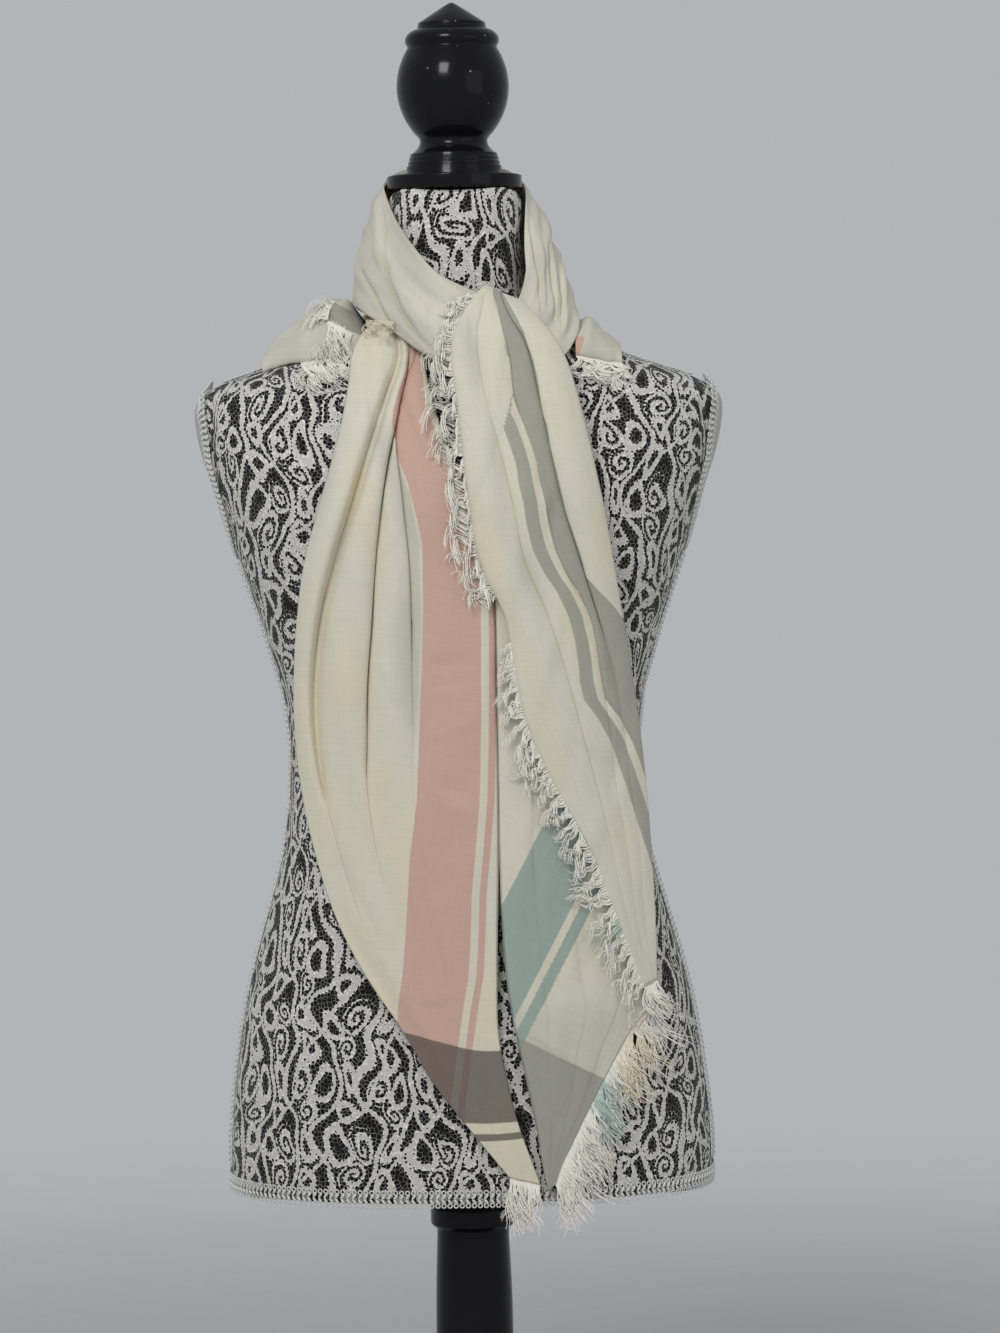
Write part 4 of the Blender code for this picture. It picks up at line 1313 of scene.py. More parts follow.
def crease_relief(creases: list[Crease], x: Grid, z: Grid) -> Grid:
    """Height that creases add.

    Args:
        creases: The creases, each drawn as seen from the front.
        x: Places across.
        z: Heights.

    Returns:
        The height at each place, below zero in a crease.
    """
    total = np.zeros_like(x)
    for crease in creases:
        line = np.array(crease.line, float)
        lengths = np.concatenate(([0.0], np.cumsum(np.hypot(*np.diff(line, axis=0).T))))
        nearest = np.full_like(x, np.inf)
        signed, along = np.zeros_like(x), np.zeros_like(x)
        for (ax, az), (bx, bz), start, end in zip(line, line[1:], lengths, lengths[1:]):
            dx, dz = bx - ax, bz - az
            share = np.clip(((x - ax) * dx + (z - az) * dz) / (dx**2 + dz**2), 0.0, 1.0)
            away = np.hypot(x - ax - share * dx, z - az - share * dz)
            side = np.sign(dx * (z - az) - dz * (x - ax))
            closer = away < nearest
            nearest = np.where(closer, away, nearest)
            signed = np.where(closer, away * side, signed)
            along = np.where(closer, start + share * (end - start), along)
        fade = np.clip(4.0 * along / lengths[-1] * (1.0 - along / lengths[-1]), 0.0, 1.0) ** 0.5
        trough = -crease.depth * np.exp(-((signed / crease.width) ** 2))
        raised = 0.5 * (1.0 + np.tanh(signed / crease.width))
        raised = raised * np.exp(-((np.maximum(signed, 0.0) / crease.reach) ** 2))
        total = total + fade * (trough + crease.step * raised)
    return total


class StripeRow(NamedTuple):
    """Where a wide stripe's inner and outer edge cross one height."""

    z: float
    inner: float
    outer: float


ROSE_PLACE = rows_of(
    StripeRow,
    (921, -32, -27), (896, -36, -24), (882, -41, -24), (868, -45, -21), (858, -46, -18),
    (847, -44, -12), (833, -41, -9), (819, -36, -7), (805, -32, -4), (790, -29, 2), (777, -26, 8),
    (734, -26, 14), (706, -27, 14), (650, -30, 13), (594, -33, 11), (552, -39, 7), (524, -41, 4),
    (496, -43, 3), (468, -46, 1), (447, -49, -3), (421, -51, -7), (380, -54, -13), (310, -58, -20),
)
SAGE_PLACE = rows_of(
    StripeRow,
    (956, 30, 27), (949, 33.5, 27), (938, 39, 30), (922, 47.6, 33), (902, 54, 37), (888, 57, 39),
    (874, 59, 40.2), (865, 60, 43), (856, 63, 47), (842, 65, 52), (828, 68, 56), (814, 71, 58),
    (800, 74, 61), (789, 77, 62), (771, 83, 66), (761, 86, 70), (748, 89, 77), (739, 97, 83),
    (728, 107, 88), (721, 112, 91), (704, 125, 95), (690, 132, 97), (676, 138, 98),
    (662, 146, 101), (648, 154, 111), (633, 162, 119), (619, 170, 124), (600, 178, 130),
    (440, 236, 178),
)


def widen_thin(distance: Grid, width: float) -> Grid:
    """Stretch the distances outside a wide stripe, so that the thin one shows this width."""
    line = WIDE_STRIPE[0] - THIN_STRIPE[1]
    passed = np.clip((WIDE_STRIPE[0] - distance - line) / width, 0.0, 1.0)
    return distance + passed * (width - (THIN_STRIPE[1] - THIN_STRIPE[0]))


def stripe_distance(rows: list[StripeRow], x: Grid, z: Grid, thin_width: float = 5.0) -> Grid:
    """Distance from a raw edge, from where its wide stripe crosses each height.

    Args:
        rows: The stripe's inner and outer edge, from the top down.
        x: Places across.
        z: Heights.
        thin_width: How wide the thin stripe shows.

    Returns:
        The distance on the cloth, in millimetres.
    """
    heights = [row.z for row in reversed(rows)]
    inner = np.interp(z, heights, [row.inner for row in reversed(rows)])
    outer = np.interp(z, heights, [row.outer for row in reversed(rows)])
    share = (x - outer) / (inner - outer)
    within = WIDE_STRIPE[0] + np.clip(share, 0.0, 1.0) * (WIDE_STRIPE[1] - WIDE_STRIPE[0])
    way = np.sign(inner - outer)
    beyond = np.maximum((x - inner) * way, 0.0)
    before = np.maximum((outer - x) * way, 0.0)
    return widen_thin(within + 1.1 * beyond - before, thin_width)


ROSE_GAPS = rows_of(
    Gap,
    (1, 930.0, 590.0, 4.4, 15.0, 2.0), (2, 905.0, 606.0, 1.8, 12.0, 3.0),
    (3, 900.0, 690.0, 1.3, 5.0, 1.6),
)
ROSE_WRINKLES = rows_of(
    Wrinkle,
    (-60, 900, 26.0, 3.6, -16.0, -2.0), (-50, 921, 5.0, 12.0, 16.0, -2.2),
    (-54, 914, 4.0, 12.0, 10.0, 1.4), (-62, 880, 40.0, 3.0, -12.0, -1.6),
    (-53, 880, 34.0, 4.0, -14.0, 1.6), (-31, 850, 30.0, 4.0, -16.0, -2.6),
    (-20, 845, 26.0, 4.0, -22.0, 1.8), (-8, 690, 5.0, 16.0, -6.0, -1.2),
    (0, 588, 9.0, 14.0, 30.0, 1.8), (-8, 600, 5.0, 12.0, 30.0, -1.2),
    (4, 540, 60.0, 6.0, 4.0, 1.2), (-85, 560, 70.0, 9.0, -18.0, 1.8),
    (-60, 540, 40.0, 5.0, -22.0, -1.4), (-74, 520, 30.0, 4.0, -26.0, -1.2),
    (-30, 500, 44.0, 8.0, -4.0, -1.3), (-66, 470, 50.0, 6.0, -30.0, -1.6),
    (-30, 430, 60.0, 7.0, -28.0, 1.6), (-100, 700, 60.0, 7.0, 2.0, -1.2),
)
ROSE_CREASES = rows_of(
    Crease,
    ([(-58, 762), (-48, 770), (-40, 782)], 0.9, 1.6, 0.9, 8.0),
    ([(-61, 692), (-55, 675), (-47, 660)], 0.9, 2.0, 1.0, 9.0),
    ([(-27, 632), (-12, 636), (4, 643), (18, 647)], 0.8, 1.6, 0.9, 9.0),
    ([(-49, 606), (-50, 590), (-42, 584)], 0.5, 1.4, 0.5, 5.0),
    ([(-25, 672), (-8, 677), (12, 676)], 0.5, 2.0, -0.6, 8.0),
    ([(-42, 452), (-25, 446), (-5, 452)], 0.6, 2.5, 0.8, 9.0),
    ([(-34, 404), (-10, 396), (14, 400)], 0.5, 2.0, 0.7, 9.0),
)
SAGE_GAPS = rows_of(
    Gap,
    (3, 958.0, 706.0, 1.2, 9.0, -2.6), (2, 962.0, 862.0, 1.0, 4.0, 2.4),
)
SAGE_WRINKLES = rows_of(
    Wrinkle,
    (17, 905, 40.0, 5.0, 2.0, -2.0), (28, 900, 40.0, 4.0, 6.0, 1.6),
    (66, 792, 14.0, 5.0, 10.0, -3.0), (20, 850, 90.0, 8.0, -6.0, 1.6),
    (36, 700, 70.0, 9.0, 14.0, -1.8), (60, 690, 60.0, 7.0, 18.0, 1.4),
    (88, 560, 50.0, 9.0, 30.0, 1.6), (110, 620, 50.0, 6.0, 14.0, -1.8),
    (11, 925, 26.0, 4.0, 0.0, -2.4),
)
SAGE_CREASES = rows_of(
    Crease,
    ([(38, 872), (47, 850), (56, 822), (60, 790), (68, 764), (90, 724)], 1.2, 1.3, 2.2, 5.0),
    ([(90, 724), (97, 690), (99, 668), (112, 647), (124, 619)], 1.2, 1.3, 2.0, 5.0),
    ([(40, 790), (52, 762), (64, 742), (76, 716)], 0.8, 4.0, 1.0, 12.0),
    ([(56, 700), (74, 668), (90, 640), (106, 590)], 0.7, 4.0, 1.0, 14.0),
    ([(70, 640), (92, 622), (112, 614)], 0.6, 3.0, 0.8, 10.0),
    ([(100, 700), (108, 670), (117, 645)], 1.0, 3.0, -0.8, 8.0),
)
LAYER_WRINKLES = rows_of(
    Wrinkle,
    (40, 560, 60.0, 8.0, 2.0, 1.2), (60, 430, 30.0, 10.0, -18.0, 1.0),
)
LAYER_CREASES = rows_of(
    Crease,
    ([(34, 430), (61, 411), (87, 393)], 0.8, 1.6, 1.2, 8.0),
    ([(40, 600), (48, 560), (52, 520)], 0.8, 3.0, 1.0, 10.0),
    ([(52, 500), (66, 460), (80, 430)], 0.5, 3.0, 0.8, 10.0),
)


@dataclass
class Tail(Stretch):
    """A hanging tail of cloth, whose lobes meet in creases."""

    name: str
    nodes: tuple[str, ...]
    rows: list[TailRow]
    place: Callable[[Grid, Grid], tuple[Grid, Grid]]
    tone: Callable[[Grid, Grid], Grid]
    flat: tuple[float, float]
    area: float | None = None
    gaps: list[Gap] = field(default_factory=list)
    wrinkles: list[Wrinkle] = field(default_factory=list)
    creases: list[Crease] = field(default_factory=list)
    raw_left: bool = False
    under: float = 1.6
    least: float = 1.5
    levels: int = 190
    lobe_columns: int = 18
    lobe_power: float = 0.5
    skew: float = 1.25
    seed: int = 1
    waviness: float = 0.45

    def grid(self) -> ClothGrid:
        """Work out where each point of the tail hangs."""
        table = smooth_table(self.rows, self.levels)
        z_left, z_right, base_lift = table[:, 0:1], table[:, 1:2], table[:, 2:3]
        edges, puffs = table[:, 3:8], table[:, 8:12]
        spread = (1.0 - np.cos(np.linspace(0.0, math.pi, self.lobe_columns + 1))) / 2.0
        across, swell = [], []
        for lobe in range(4):
            start, end = edges[:, lobe : lobe + 1], edges[:, lobe + 1 : lobe + 2]
            part = spread if lobe == 3 else spread[:-1]
            across.append(start + part * (end - start))
            arch = np.sin(math.pi * part**self.skew) ** self.lobe_power
            swell.append(puffs[:, lobe : lobe + 1] * arch)
        x = np.concatenate(across, axis=1)
        lift = base_lift + np.concatenate(swell, axis=1)
        left, right = edges[:, 0:1], edges[:, 4:5]
        share = np.clip((x - left) / (right - left), 0.0, 1.0)
        z = z_left + share * (z_right - z_left)
        lift = lift + self.relief(x, z, edges, share)
        floor = np.minimum(self.least, base_lift - 1.0)
        lift = np.maximum(lift, floor)
        x = x + self.laps(x, z, edges)
        x, z, lift, share = self.turn_edges(x, z, lift, share, base_lift, right - left)
        body = soften(fall_depth(x, z, False), 6)
        points = np.stack((x, -(body + lift), z), axis=2)
        u, v = self.place(x, z)
        return ClothGrid(points, np.stack((u, v), axis=2), self.tone(x, z))

    def relief(self, x: Grid, z: Grid, edges: Grid, share: Grid) -> Grid:
        """Deep creases, single wrinkles and a soft unevenness."""
        calm = np.sin(math.pi * np.clip(share, 0.02, 0.98)) ** 0.5
        total = self.waviness * calm * ripple(x, z, self.seed, 26.0, 120.0)
        total = total + 0.3 * self.waviness * calm * ripple(x, z, self.seed + 7, 11.0, 34.0)
        for gap in self.gaps:
            centre = edges[:, gap.crease : gap.crease + 1]
            fade = gap.fade(z) ** 0.6
            wide = gap.width * (0.35 + 0.65 * fade)
            total = total - gap.depth * fade * np.exp(-(((x - centre) / wide) ** 4))
        for wrinkle in self.wrinkles:
            turn = math.radians(wrinkle.lean)
            along = (z - wrinkle.z) * math.cos(turn) + (x - wrinkle.x) * math.sin(turn)
            aside = (x - wrinkle.x) * math.cos(turn) - (z - wrinkle.z) * math.sin(turn)
            shape = np.exp(-((along / wrinkle.length) ** 2) - (aside / wrinkle.width) ** 2)
            total = total + wrinkle.height * shape
        return total + crease_relief(self.creases, x, z)

    def laps(self, x: Grid, z: Grid, edges: Grid) -> Grid:
        """How far the lobe left of each crease is pushed out over the next one."""
        total = np.zeros_like(x)
        for gap in self.gaps:
            past = (edges[:, gap.crease : gap.crease + 1] - x) * math.copysign(1.0, gap.lap) / 2.4
            past = np.maximum(past, 0.0)
            total = total + gap.lap * gap.fade(z) * past * np.exp(1.0 - past)
        return total

    def turn_edges(
        self, x: Grid, z: Grid, lift: Grid, share: Grid, base: Grid, width: Grid
    ) -> tuple[Grid, Grid, Grid, Grid]:
        """Fold the cloth under at its folded edges.

        Args:
            x: Places across.
            z: Heights.
            lift: Lift off the fall line.
            share: Place between the edges, from 0 to 1.
            base: Lift of the tail at each level.
            width: Width of the tail at each level.

        Returns:
            The four grids with the turned columns added.
        """
        low = np.clip(self.under, base - MOST_FOLD, base - LEAST_FOLD)
        turn = (base - low) / 2.0
        inset = np.minimum(FOLD_INSET, FOLD_SHARE * width)
        bend = np.linspace(0.0, math.pi, 7)[1:]
        tuck = np.linspace(0.0, 1.0, 5)[1:]
        lifts = (base - turn * (1.0 - np.cos(bend)), np.repeat(low, len(tuck), axis=1))
        for side in (1,) if self.raw_left else (-1, 1):
            column = slice(-1, None) if side > 0 else slice(0, 1)
            edge_x, edge_z = x[:, column], z[:, column]
            curve = edge_x + side * (turn * np.sin(bend) - turn)
            flap = edge_x - side * (turn + tuck * (inset - turn))
            x = x.copy()
            x[:, column] = edge_x - side * turn
            extra_x = np.concatenate((curve, flap), axis=1)
            extras = (
                extra_x,
                np.repeat(edge_z, extra_x.shape[1], axis=1),
                np.concatenate(lifts, axis=1),
                np.full_like(extra_x, max(side, 0)),
            )
            x, z, lift, share = (
                np.concatenate((part, extra) if side > 0 else (extra[:, ::-1], part), axis=1)
                for part, extra in zip((x, z, lift, share), extras)
            )
        return x, z, lift, share


class BandRow(NamedTuple):
    """One cut across the loop round the neck, from its inner to its outer rail."""

    in_x: float
    in_y: float
    in_z: float
    out_x: float
    out_y: float
    out_z: float
    bulge: float


NECK_ROWS = rows_of(
    BandRow,
    (22.0, -71, 948, 8, -101, 901, 4),
    (4.0, -69, 956, -8, -102, 903, 6),
    (-14.0, -64, 966, -26, -95, 911, 8),
    (-30.0, -53, 985, -45, -80, 925, 8),
    (-42.0, -36, 1004, -65, -57, 938, 7),
    (-49.6, -15, 1024, -74, -28, 946, 6),
    (-50.6, 8, 1034, -74, 8, 948, 5),
    (-43.6, 27, 1041, -71, 39, 942, 10),
    (-25.0, 44, 1047, -44, 70, 934, 11),
    (0.0, 50.6, 1048, 0, 84, 930, 12),
    (25.0, 44, 1046, 45, 70, 933, 11),
    (43.6, 27, 1040, 75, 38, 940, 10),
    (50.6, 8, 1030, 85, 8, 944, 2),
    (51.0, -13, 1014, 88, -22, 938, 1),
    (51.0, -36, 987, 86, -52, 921, 1),
    (50.0, -52, 964, 76, -76, 905, 2),
    (43.0, -63, 943, 58, -88, 897, 4),
    (25.0, -66, 934, 36, -93, 895, 3),
    (5.0, -70, 925, 10, -94, 894, 3),
    (-16.0, -73, 919, -18, -92, 894, 2),
)


class Pleat(NamedTuple):
    """A pleat or crease along the neck loop, between two places along and across it."""

    start: float
    start_across: float
    end: float
    end_across: float
    height: float
    width: float


NECK_CREASES = rows_of(
    Crease,
    (
        [(-50, 1014), (-47, 992), (-45, 974), (-42, 955), (-36, 936), (-26, 918), (-12, 903)],
        4.6, 1.7, 5.0, 14.0,
    ),
    ([(-63, 968), (-58, 956), (-53, 946), (-46, 927), (-33, 912), (-20, 903)], 4.2, 1.7, 4.0, 9.0),
    ([(-56, 1000), (-55, 980), (-50, 962)], 1.4, 2.4, 1.6, 8.0),
    ([(-8, 946), (-16, 932), (-16, 914)], 1.4, 3.0, 1.8, 10.0),
    ([(10, 944), (4, 936), (-2, 926)], 0.8, 3.0, 1.2, 8.0),
    ([(53, 1006), (57, 978), (59, 960), (60, 934)], 3.2, 1.3, 2.4, 6.0),
    ([(60, 994), (63, 970), (64, 946), (64, 932)], 1.4, 1.2, 1.2, 4.0),
    ([(64, 986), (67, 963), (69, 946), (69, 928)], 3.0, 1.2, 2.2, 5.0),
    ([(71, 970), (75, 945), (74, 920)], 2.6, 1.2, 1.6, 4.0),
)
NECK_PLEATS = rows_of(
    Pleat,
    (0.24, 0.14, 0.60, 0.30, 2.2, 0.070),
    (0.34, 0.42, 0.74, 0.34, 3.4, 0.090),
    (0.22, 0.62, 0.56, 0.76, 2.8, 0.080),
    (0.44, 0.58, 0.76, 0.68, 2.4, 0.060),
    (0.26, 0.30, 0.54, 0.44, -1.8, 0.022),
    (0.40, 0.52, 0.70, 0.50, -2.0, 0.022),
    (0.30, 0.86, 0.66, 0.80, -1.6, 0.022),
    (0.60, 0.20, 1.02, 0.26, 1.0, 0.060),
    (0.60, 0.50, 1.02, 0.56, 1.2, 0.060),
    (0.60, 0.78, 1.02, 0.84, 1.0, 0.060),
)


@dataclass
class NeckLoop(Stretch):
    """The cloth that runs round the neck, from the knot and back to it."""

    name: str = "neck_loop"
    nodes: tuple[str, ...] = ("scarf_neck_left", "scarf_neck_back", "scarf_neck_right")
    levels: int = 280
    columns: int = 96
    length: float = 430.0
    width: float = 110.0
    flat: tuple[float, float] = (0.14, 0.50)
    area: float | None = None

    def grid(self) -> ClothGrid:
        """Work out where each point of the loop lies."""
        table = smooth_table(NECK_ROWS, self.levels)
        inner, outer, bulge = table[:, None, 0:3], table[:, None, 3:6], table[:, 6:7]
        across = np.linspace(0.0, 1.0, self.columns)[None, :]
        along = np.linspace(0.0, 1.0, self.levels)[:, None]
        chord = unit(outer - inner)
        away = unit((inner + outer) / 2.0 * np.array((1.0, 1.0, 0.0)))
        away = unit(away - chord * (away * chord).sum(axis=2, keepdims=True))
        arch = 4.0 * across * (1.0 - across)
        height = bulge * arch + self.pleats(along, across) * np.minimum(1.0, 2.5 * arch)
        height = height + 0.5 * ripple(along * self.length, across * 95.0, 21, 60.0, 24.0)
        flat = inner + (outer - inner) * across[..., None]
        ahead = smooth_step(-flat[..., 1], -2.0, 14.0) * np.minimum(1.0, 3.0 * arch)
        height = height + ahead * crease_relief(NECK_CREASES, flat[..., 0], flat[..., 2])
        points = flat + away * height[..., None]
        points = self.roll_rims(points, outer)
        flat_across = np.concatenate((across[:, :1], across, across[:, -1:]), axis=1)
        u = 450.0 + np.repeat(along, self.columns + 2, axis=1) * self.length
        v = 500.0 + np.repeat(flat_across, self.levels, axis=0) * self.width
        place = np.stack((u, v), axis=2)
        # Painted shade: the loop is pulled towards the cooler, darker colour, more so towards its left.
        shade = -0.35 - 0.4 * smooth_step(-points[..., 0], 10.0, 45.0)
        tone = shade + 0.25 * ripple(place[..., 0], place[..., 1], 31, 90.0, 60.0)
        return ClothGrid(points, place, tone)

    def pleats(self, along: Grid, across: Grid) -> Grid:
        """Height of the pleats and creases of the loop."""
        total = np.zeros(np.broadcast(along, across).shape)
        for pleat in NECK_PLEATS:
            share = (along - pleat.start) / (pleat.end - pleat.start)
            centre = pleat.start_across + share * (pleat.end_across - pleat.start_across)
            fade = np.clip(4.0 * share * (1.0 - share), 0.0, 1.0) ** 0.5
            fade = np.where((share > 0.0) & (share < 1.0), fade, 0.0)
            total = total + pleat.height * fade * np.exp(-(((across - centre) / pleat.width) ** 2))
        return total

    def roll_rims(self, points: Grid, outer: Grid) -> Grid:
        """Add a rim that rolls in at the neck and one that turns under at the foot."""
        inwards = unit(-outer * np.array((1.0, 1.0, 0.0)))
        top = points[:, :1] - np.array((0.0, 0.0, 5.0))
        foot = points[:, -1:] + inwards * 4.0 - np.array((0.0, 0.0, 2.0))
        return np.concatenate((top, points, foot), axis=1)


class ArchRow(NamedTuple):
    """One cut of a shoulder fold, from its front edge over the shoulder to its back edge."""

    x: float
    top: float
    front_z: float
    back_z: float
    front_lift: float


SHOULDER_LEFT = rows_of(
    ArchRow,
    (-140, 912, 897, 891, 2.6), (-132, 922, 900, 885, 2.6), (-120, 932, 903, 880, 2.4),
    (-106, 941, 904, 880, 2.4), (-92, 949, 906, 882, 2.4), (-81, 950, 908, 886, 2.4),
    (-73, 941, 910, 892, 2.4), (-68, 934, 912, 900, 2.4),
)
SHOULDER_RIGHT = rows_of(
    ArchRow,
    (85, 930, 905, 890, 2.0), (91, 932, 904, 888, 2.0), (95, 934, 903, 884, 2.0),
    (101, 931, 902, 882, 2.0), (108, 924, 900, 884, 2.0), (114, 918, 900, 888, 2.0),
    (118, 914, 899, 892, 2.0),
)


def arch_points(table: Grid, steps: int) -> Grid:
    """Points of shoulder cuts.

    Args:
        table: Cuts as rows of ArchRow's fields.
        steps: How many spans each cut gets.

    Returns:
        The points, with one row for each cut.
    """
    x, top, front_z, back_z, lift = (table[:, k : k + 1] for k in range(5))
    front_y = -(FORM.depth(x, front_z, False) + lift)
    back_y = fall_depth(x, back_z, True) + 7.0
    turn = np.linspace(0.0, math.pi, steps + 1)[None, :]
    share = (1.0 - np.cos(turn)) / 2.0
    y = front_y + share * (back_y - front_y)
    foot = front_z + share * (back_z - front_z)
    z = foot + (top - foot) * np.sin(turn) ** 0.8
    return np.stack((np.repeat(x, steps + 1, axis=1), y, z), axis=2)


@dataclass
class ShoulderFold(Stretch):
    """A fold of cloth over one shoulder."""

    name: str
    nodes: tuple[str, ...]
    rows: list[ArchRow]
    place: Callable[[Grid, Grid], tuple[Grid, Grid]]
    flat: tuple[float, float]
    crease_x: float
    seed: int
    area: float | None = None
    levels: int = 60
    steps: int = 56

    def grid(self) -> ClothGrid:
        """Work out where each point of the fold lies."""
        points = arch_points(smooth_table(self.rows, self.levels), self.steps)
        x, y = points[..., 0], points[..., 1]
        calm = np.sin(np.linspace(0.0, math.pi, self.steps + 1))[None, :]
        crease = -1.6 * np.exp(-(((x - self.crease_x - 0.1 * y) / 2.6) ** 2))
        points[..., 2] += calm * (crease + 0.9 * ripple(x, y, self.seed, 22.0, 70.0))
        u, v = self.place(x, points[..., 2])
        tone = -0.7 + 0.2 * ripple(x, y, self.seed + 3, 40.0, 60.0)
        return ClothGrid(points, np.stack((u, v), axis=2), tone)


class FallRow(NamedTuple):
    """One level of the corner down the back."""

    z_left: float
    z_middle: float
    z_right: float
    lift: float
    left: float
    right: float


BACK_ROWS = rows_of(
    FallRow,
    (905, 952, 904, 2.6, -124, 106),
    (886, 916, 884, 2.4, -129, 110),
    (850, 862, 850, 2.6, -126, 108),
    (810, 814, 810, 2.6, -118, 104),
    (760, 760, 760, 3.0, -107, 97),
    (700, 700, 700, 3.0, -93, 86),
    (640, 640, 640, 3.0, -79, 74),
    (580, 580, 580, 3.0, -64, 61),
    (520, 520, 520, 3.0, -49, 48),
    (460, 460, 460, 3.0, -34, 34),
    (400, 400, 400, 3.0, -19, 20),
    (352, 350, 352, 3.0, -6, 8),
)


class Furrow(NamedTuple):
    """A long soft fold down the back, by its share of the width at its top and foot."""

    across_top: float
    across_foot: float
    height: float
    width: float
    z_top: float
    z_foot: float


BACK_FOLDS = rows_of(
    Furrow,
    (0.12, 0.16, 7, 0.060, 905, 560),
    (0.29, 0.30, 10, 0.055, 925, 470),
    (0.44, 0.42, 8, 0.050, 930, 620),
    (0.57, 0.56, 11, 0.055, 930, 440),
    (0.73, 0.71, 8, 0.055, 925, 540),
    (0.89, 0.86, 6, 0.055, 905, 600),
    (0.20, 0.23, -1.6, 0.016, 900, 520),
    (0.36, 0.36, -1.8, 0.016, 915, 500),
    (0.50, 0.49, -1.8, 0.015, 920, 480),
    (0.65, 0.64, -1.8, 0.016, 915, 500),
    (0.81, 0.79, -1.6, 0.016, 900, 560),
)


BACK_CREASES = rows_of(
    Crease,
    ([(-72, 930), (-66, 800), (-44, 640), (-28, 480)], 3.6, 3.2, 6.0, 22.0),
    ([(-20, 948), (-8, 820), (-18, 700), (-6, 520)], 4.0, 3.4, 7.0, 24.0),
    ([(34, 944), (24, 800), (24, 660), (8, 460)], 4.0, 3.4, -7.0, 24.0),
    ([(80, 915), (62, 780), (50, 620)], 5.0, 3.2, -5.0, 18.0),
    ([(4, 925), (44, 878), (92, 866)], 2.6, 3.6, 3.6, 14.0),
    ([(-36, 918), (-70, 882), (-112, 860)], 2.6, 3.6, 3.6, 14.0),
    ([(-44, 590), (-10, 556), (22, 548)], 1.6, 3.4, 2.8, 14.0),
)


def back_points(table: Grid, share: Grid, folds: bool) -> Grid:
    """Points of the corner down the back.

    Args:
        table: Levels as rows of FallRow's fields.
        share: Places across, from 0 to 1.
        folds: Whether to raise the folds.

    Returns:
        The points, with one row for each level.
    """
    z_left, z_middle, z_right, lift, left, right = (table[:, k : k + 1] for k in range(6))
    x = left + share * (right - left)
    rise = z_middle - (z_left + z_right) / 2.0
    z = z_left + share * (z_right - z_left) + rise * (1.0 - (2.0 * share - 1.0) ** 2)
    relief = np.zeros_like(x)
    for fold in BACK_FOLDS if folds else ():
        down = np.clip((fold.z_top - z) / (fold.z_top - fold.z_foot), 0.0, 1.0)
        centre = fold.across_top + down * (fold.across_foot - fold.across_top)
        fade = np.sin(math.pi * down**0.7) ** 0.7
        relief = relief + fold.height * fade * np.exp(-(((share - centre) / fold.width) ** 2))
    depth = soften(fall_depth(x, z, True), 6)
    return np.stack((x, depth + lift + relief, z), axis=2)


@dataclass
class BackCorner(Stretch):
    """The corner of the scarf that hangs down the back."""

    name: str = "back_corner"
    nodes: tuple[str, ...] = ("scarf_back",)
    levels: int = 190
    columns: int = 130
    flat: tuple[float, float] = (0.3, 0.58)
    area: float | None = 0.095

    def grid(self) -> ClothGrid:
        """Work out where each point of the corner hangs."""
        share = np.linspace(0.0, 1.0, self.columns)[None, :]
        points = back_points(smooth_table(BACK_ROWS, self.levels), share, True)
        x, z = points[..., 0], points[..., 2]
        calm = np.sin(math.pi * np.clip(share, 0.03, 0.97)) ** 0.5
        points[..., 1] += calm * (0.7 * ripple(x, z, 51, 24.0, 110.0) + 0.3 * ripple(x, z, 57, 9.0, 30.0))
        points[..., 1] += calm * crease_relief(BACK_CREASES, x, z)
        points[..., 1] = np.maximum(points[..., 1], fall_depth(x, z, True) + 1.2)
        stretch = 1.35
        u = SQUARE - (x - x[:, :1]) * stretch
        v = (x[:, -1:] - x) * stretch
        tone = -0.1 + 0.3 * ripple(x, z, 61, 60.0, 160.0)
        return ClothGrid(points, np.stack((u, v), axis=2), tone)


class Surface(Enum):
    """What a fringe lies on."""

    FRONT_FALL = "front fall"
    FRONT_FORM = "front form"
    BACK_FALL = "back fall"
    SHOULDER_FOLD = "shoulder fold"


def fold_front(x: Grid, z: Grid) -> Grid:
    """Where the front of the left shoulder's fold stands, in Y."""
    rows = np.array(SHOULDER_LEFT)
    top, foot, back_z = (np.interp(x, rows[:, 0], rows[:, k]) for k in (1, 2, 3))
    rise = np.clip((z - foot) / (top - foot), 0.0, 1.0) ** 1.25
    share = (1.0 - np.sqrt(1.0 - rise**2)) / 2.0
    front_y = -(FORM.depth(x, foot, False) + 2.4)
    return front_y + share * (fall_depth(x, back_z, True) + 7.0 - front_y)


def surface_point(surface: Surface, x: Grid, z: Grid, lift: Grid) -> Grid:
    """Points that stand off a surface.

    Args:
        surface: The surface.
        x: Places across.
        z: Heights.
        lift: How far off it.

    Returns:
        The points, in the last axis.
    """
    if surface is Surface.BACK_FALL:
        y = fall_depth(x, z, True) + lift
    elif surface is Surface.SHOULDER_FOLD:
        y = fold_front(x, z) - lift
    elif surface is Surface.FRONT_FALL:
        y = -(fall_depth(x, z, False) + lift)
    else:
        y = -(FORM.depth(x, z, False) + lift)
    return np.stack((x, y, z), axis=-1)


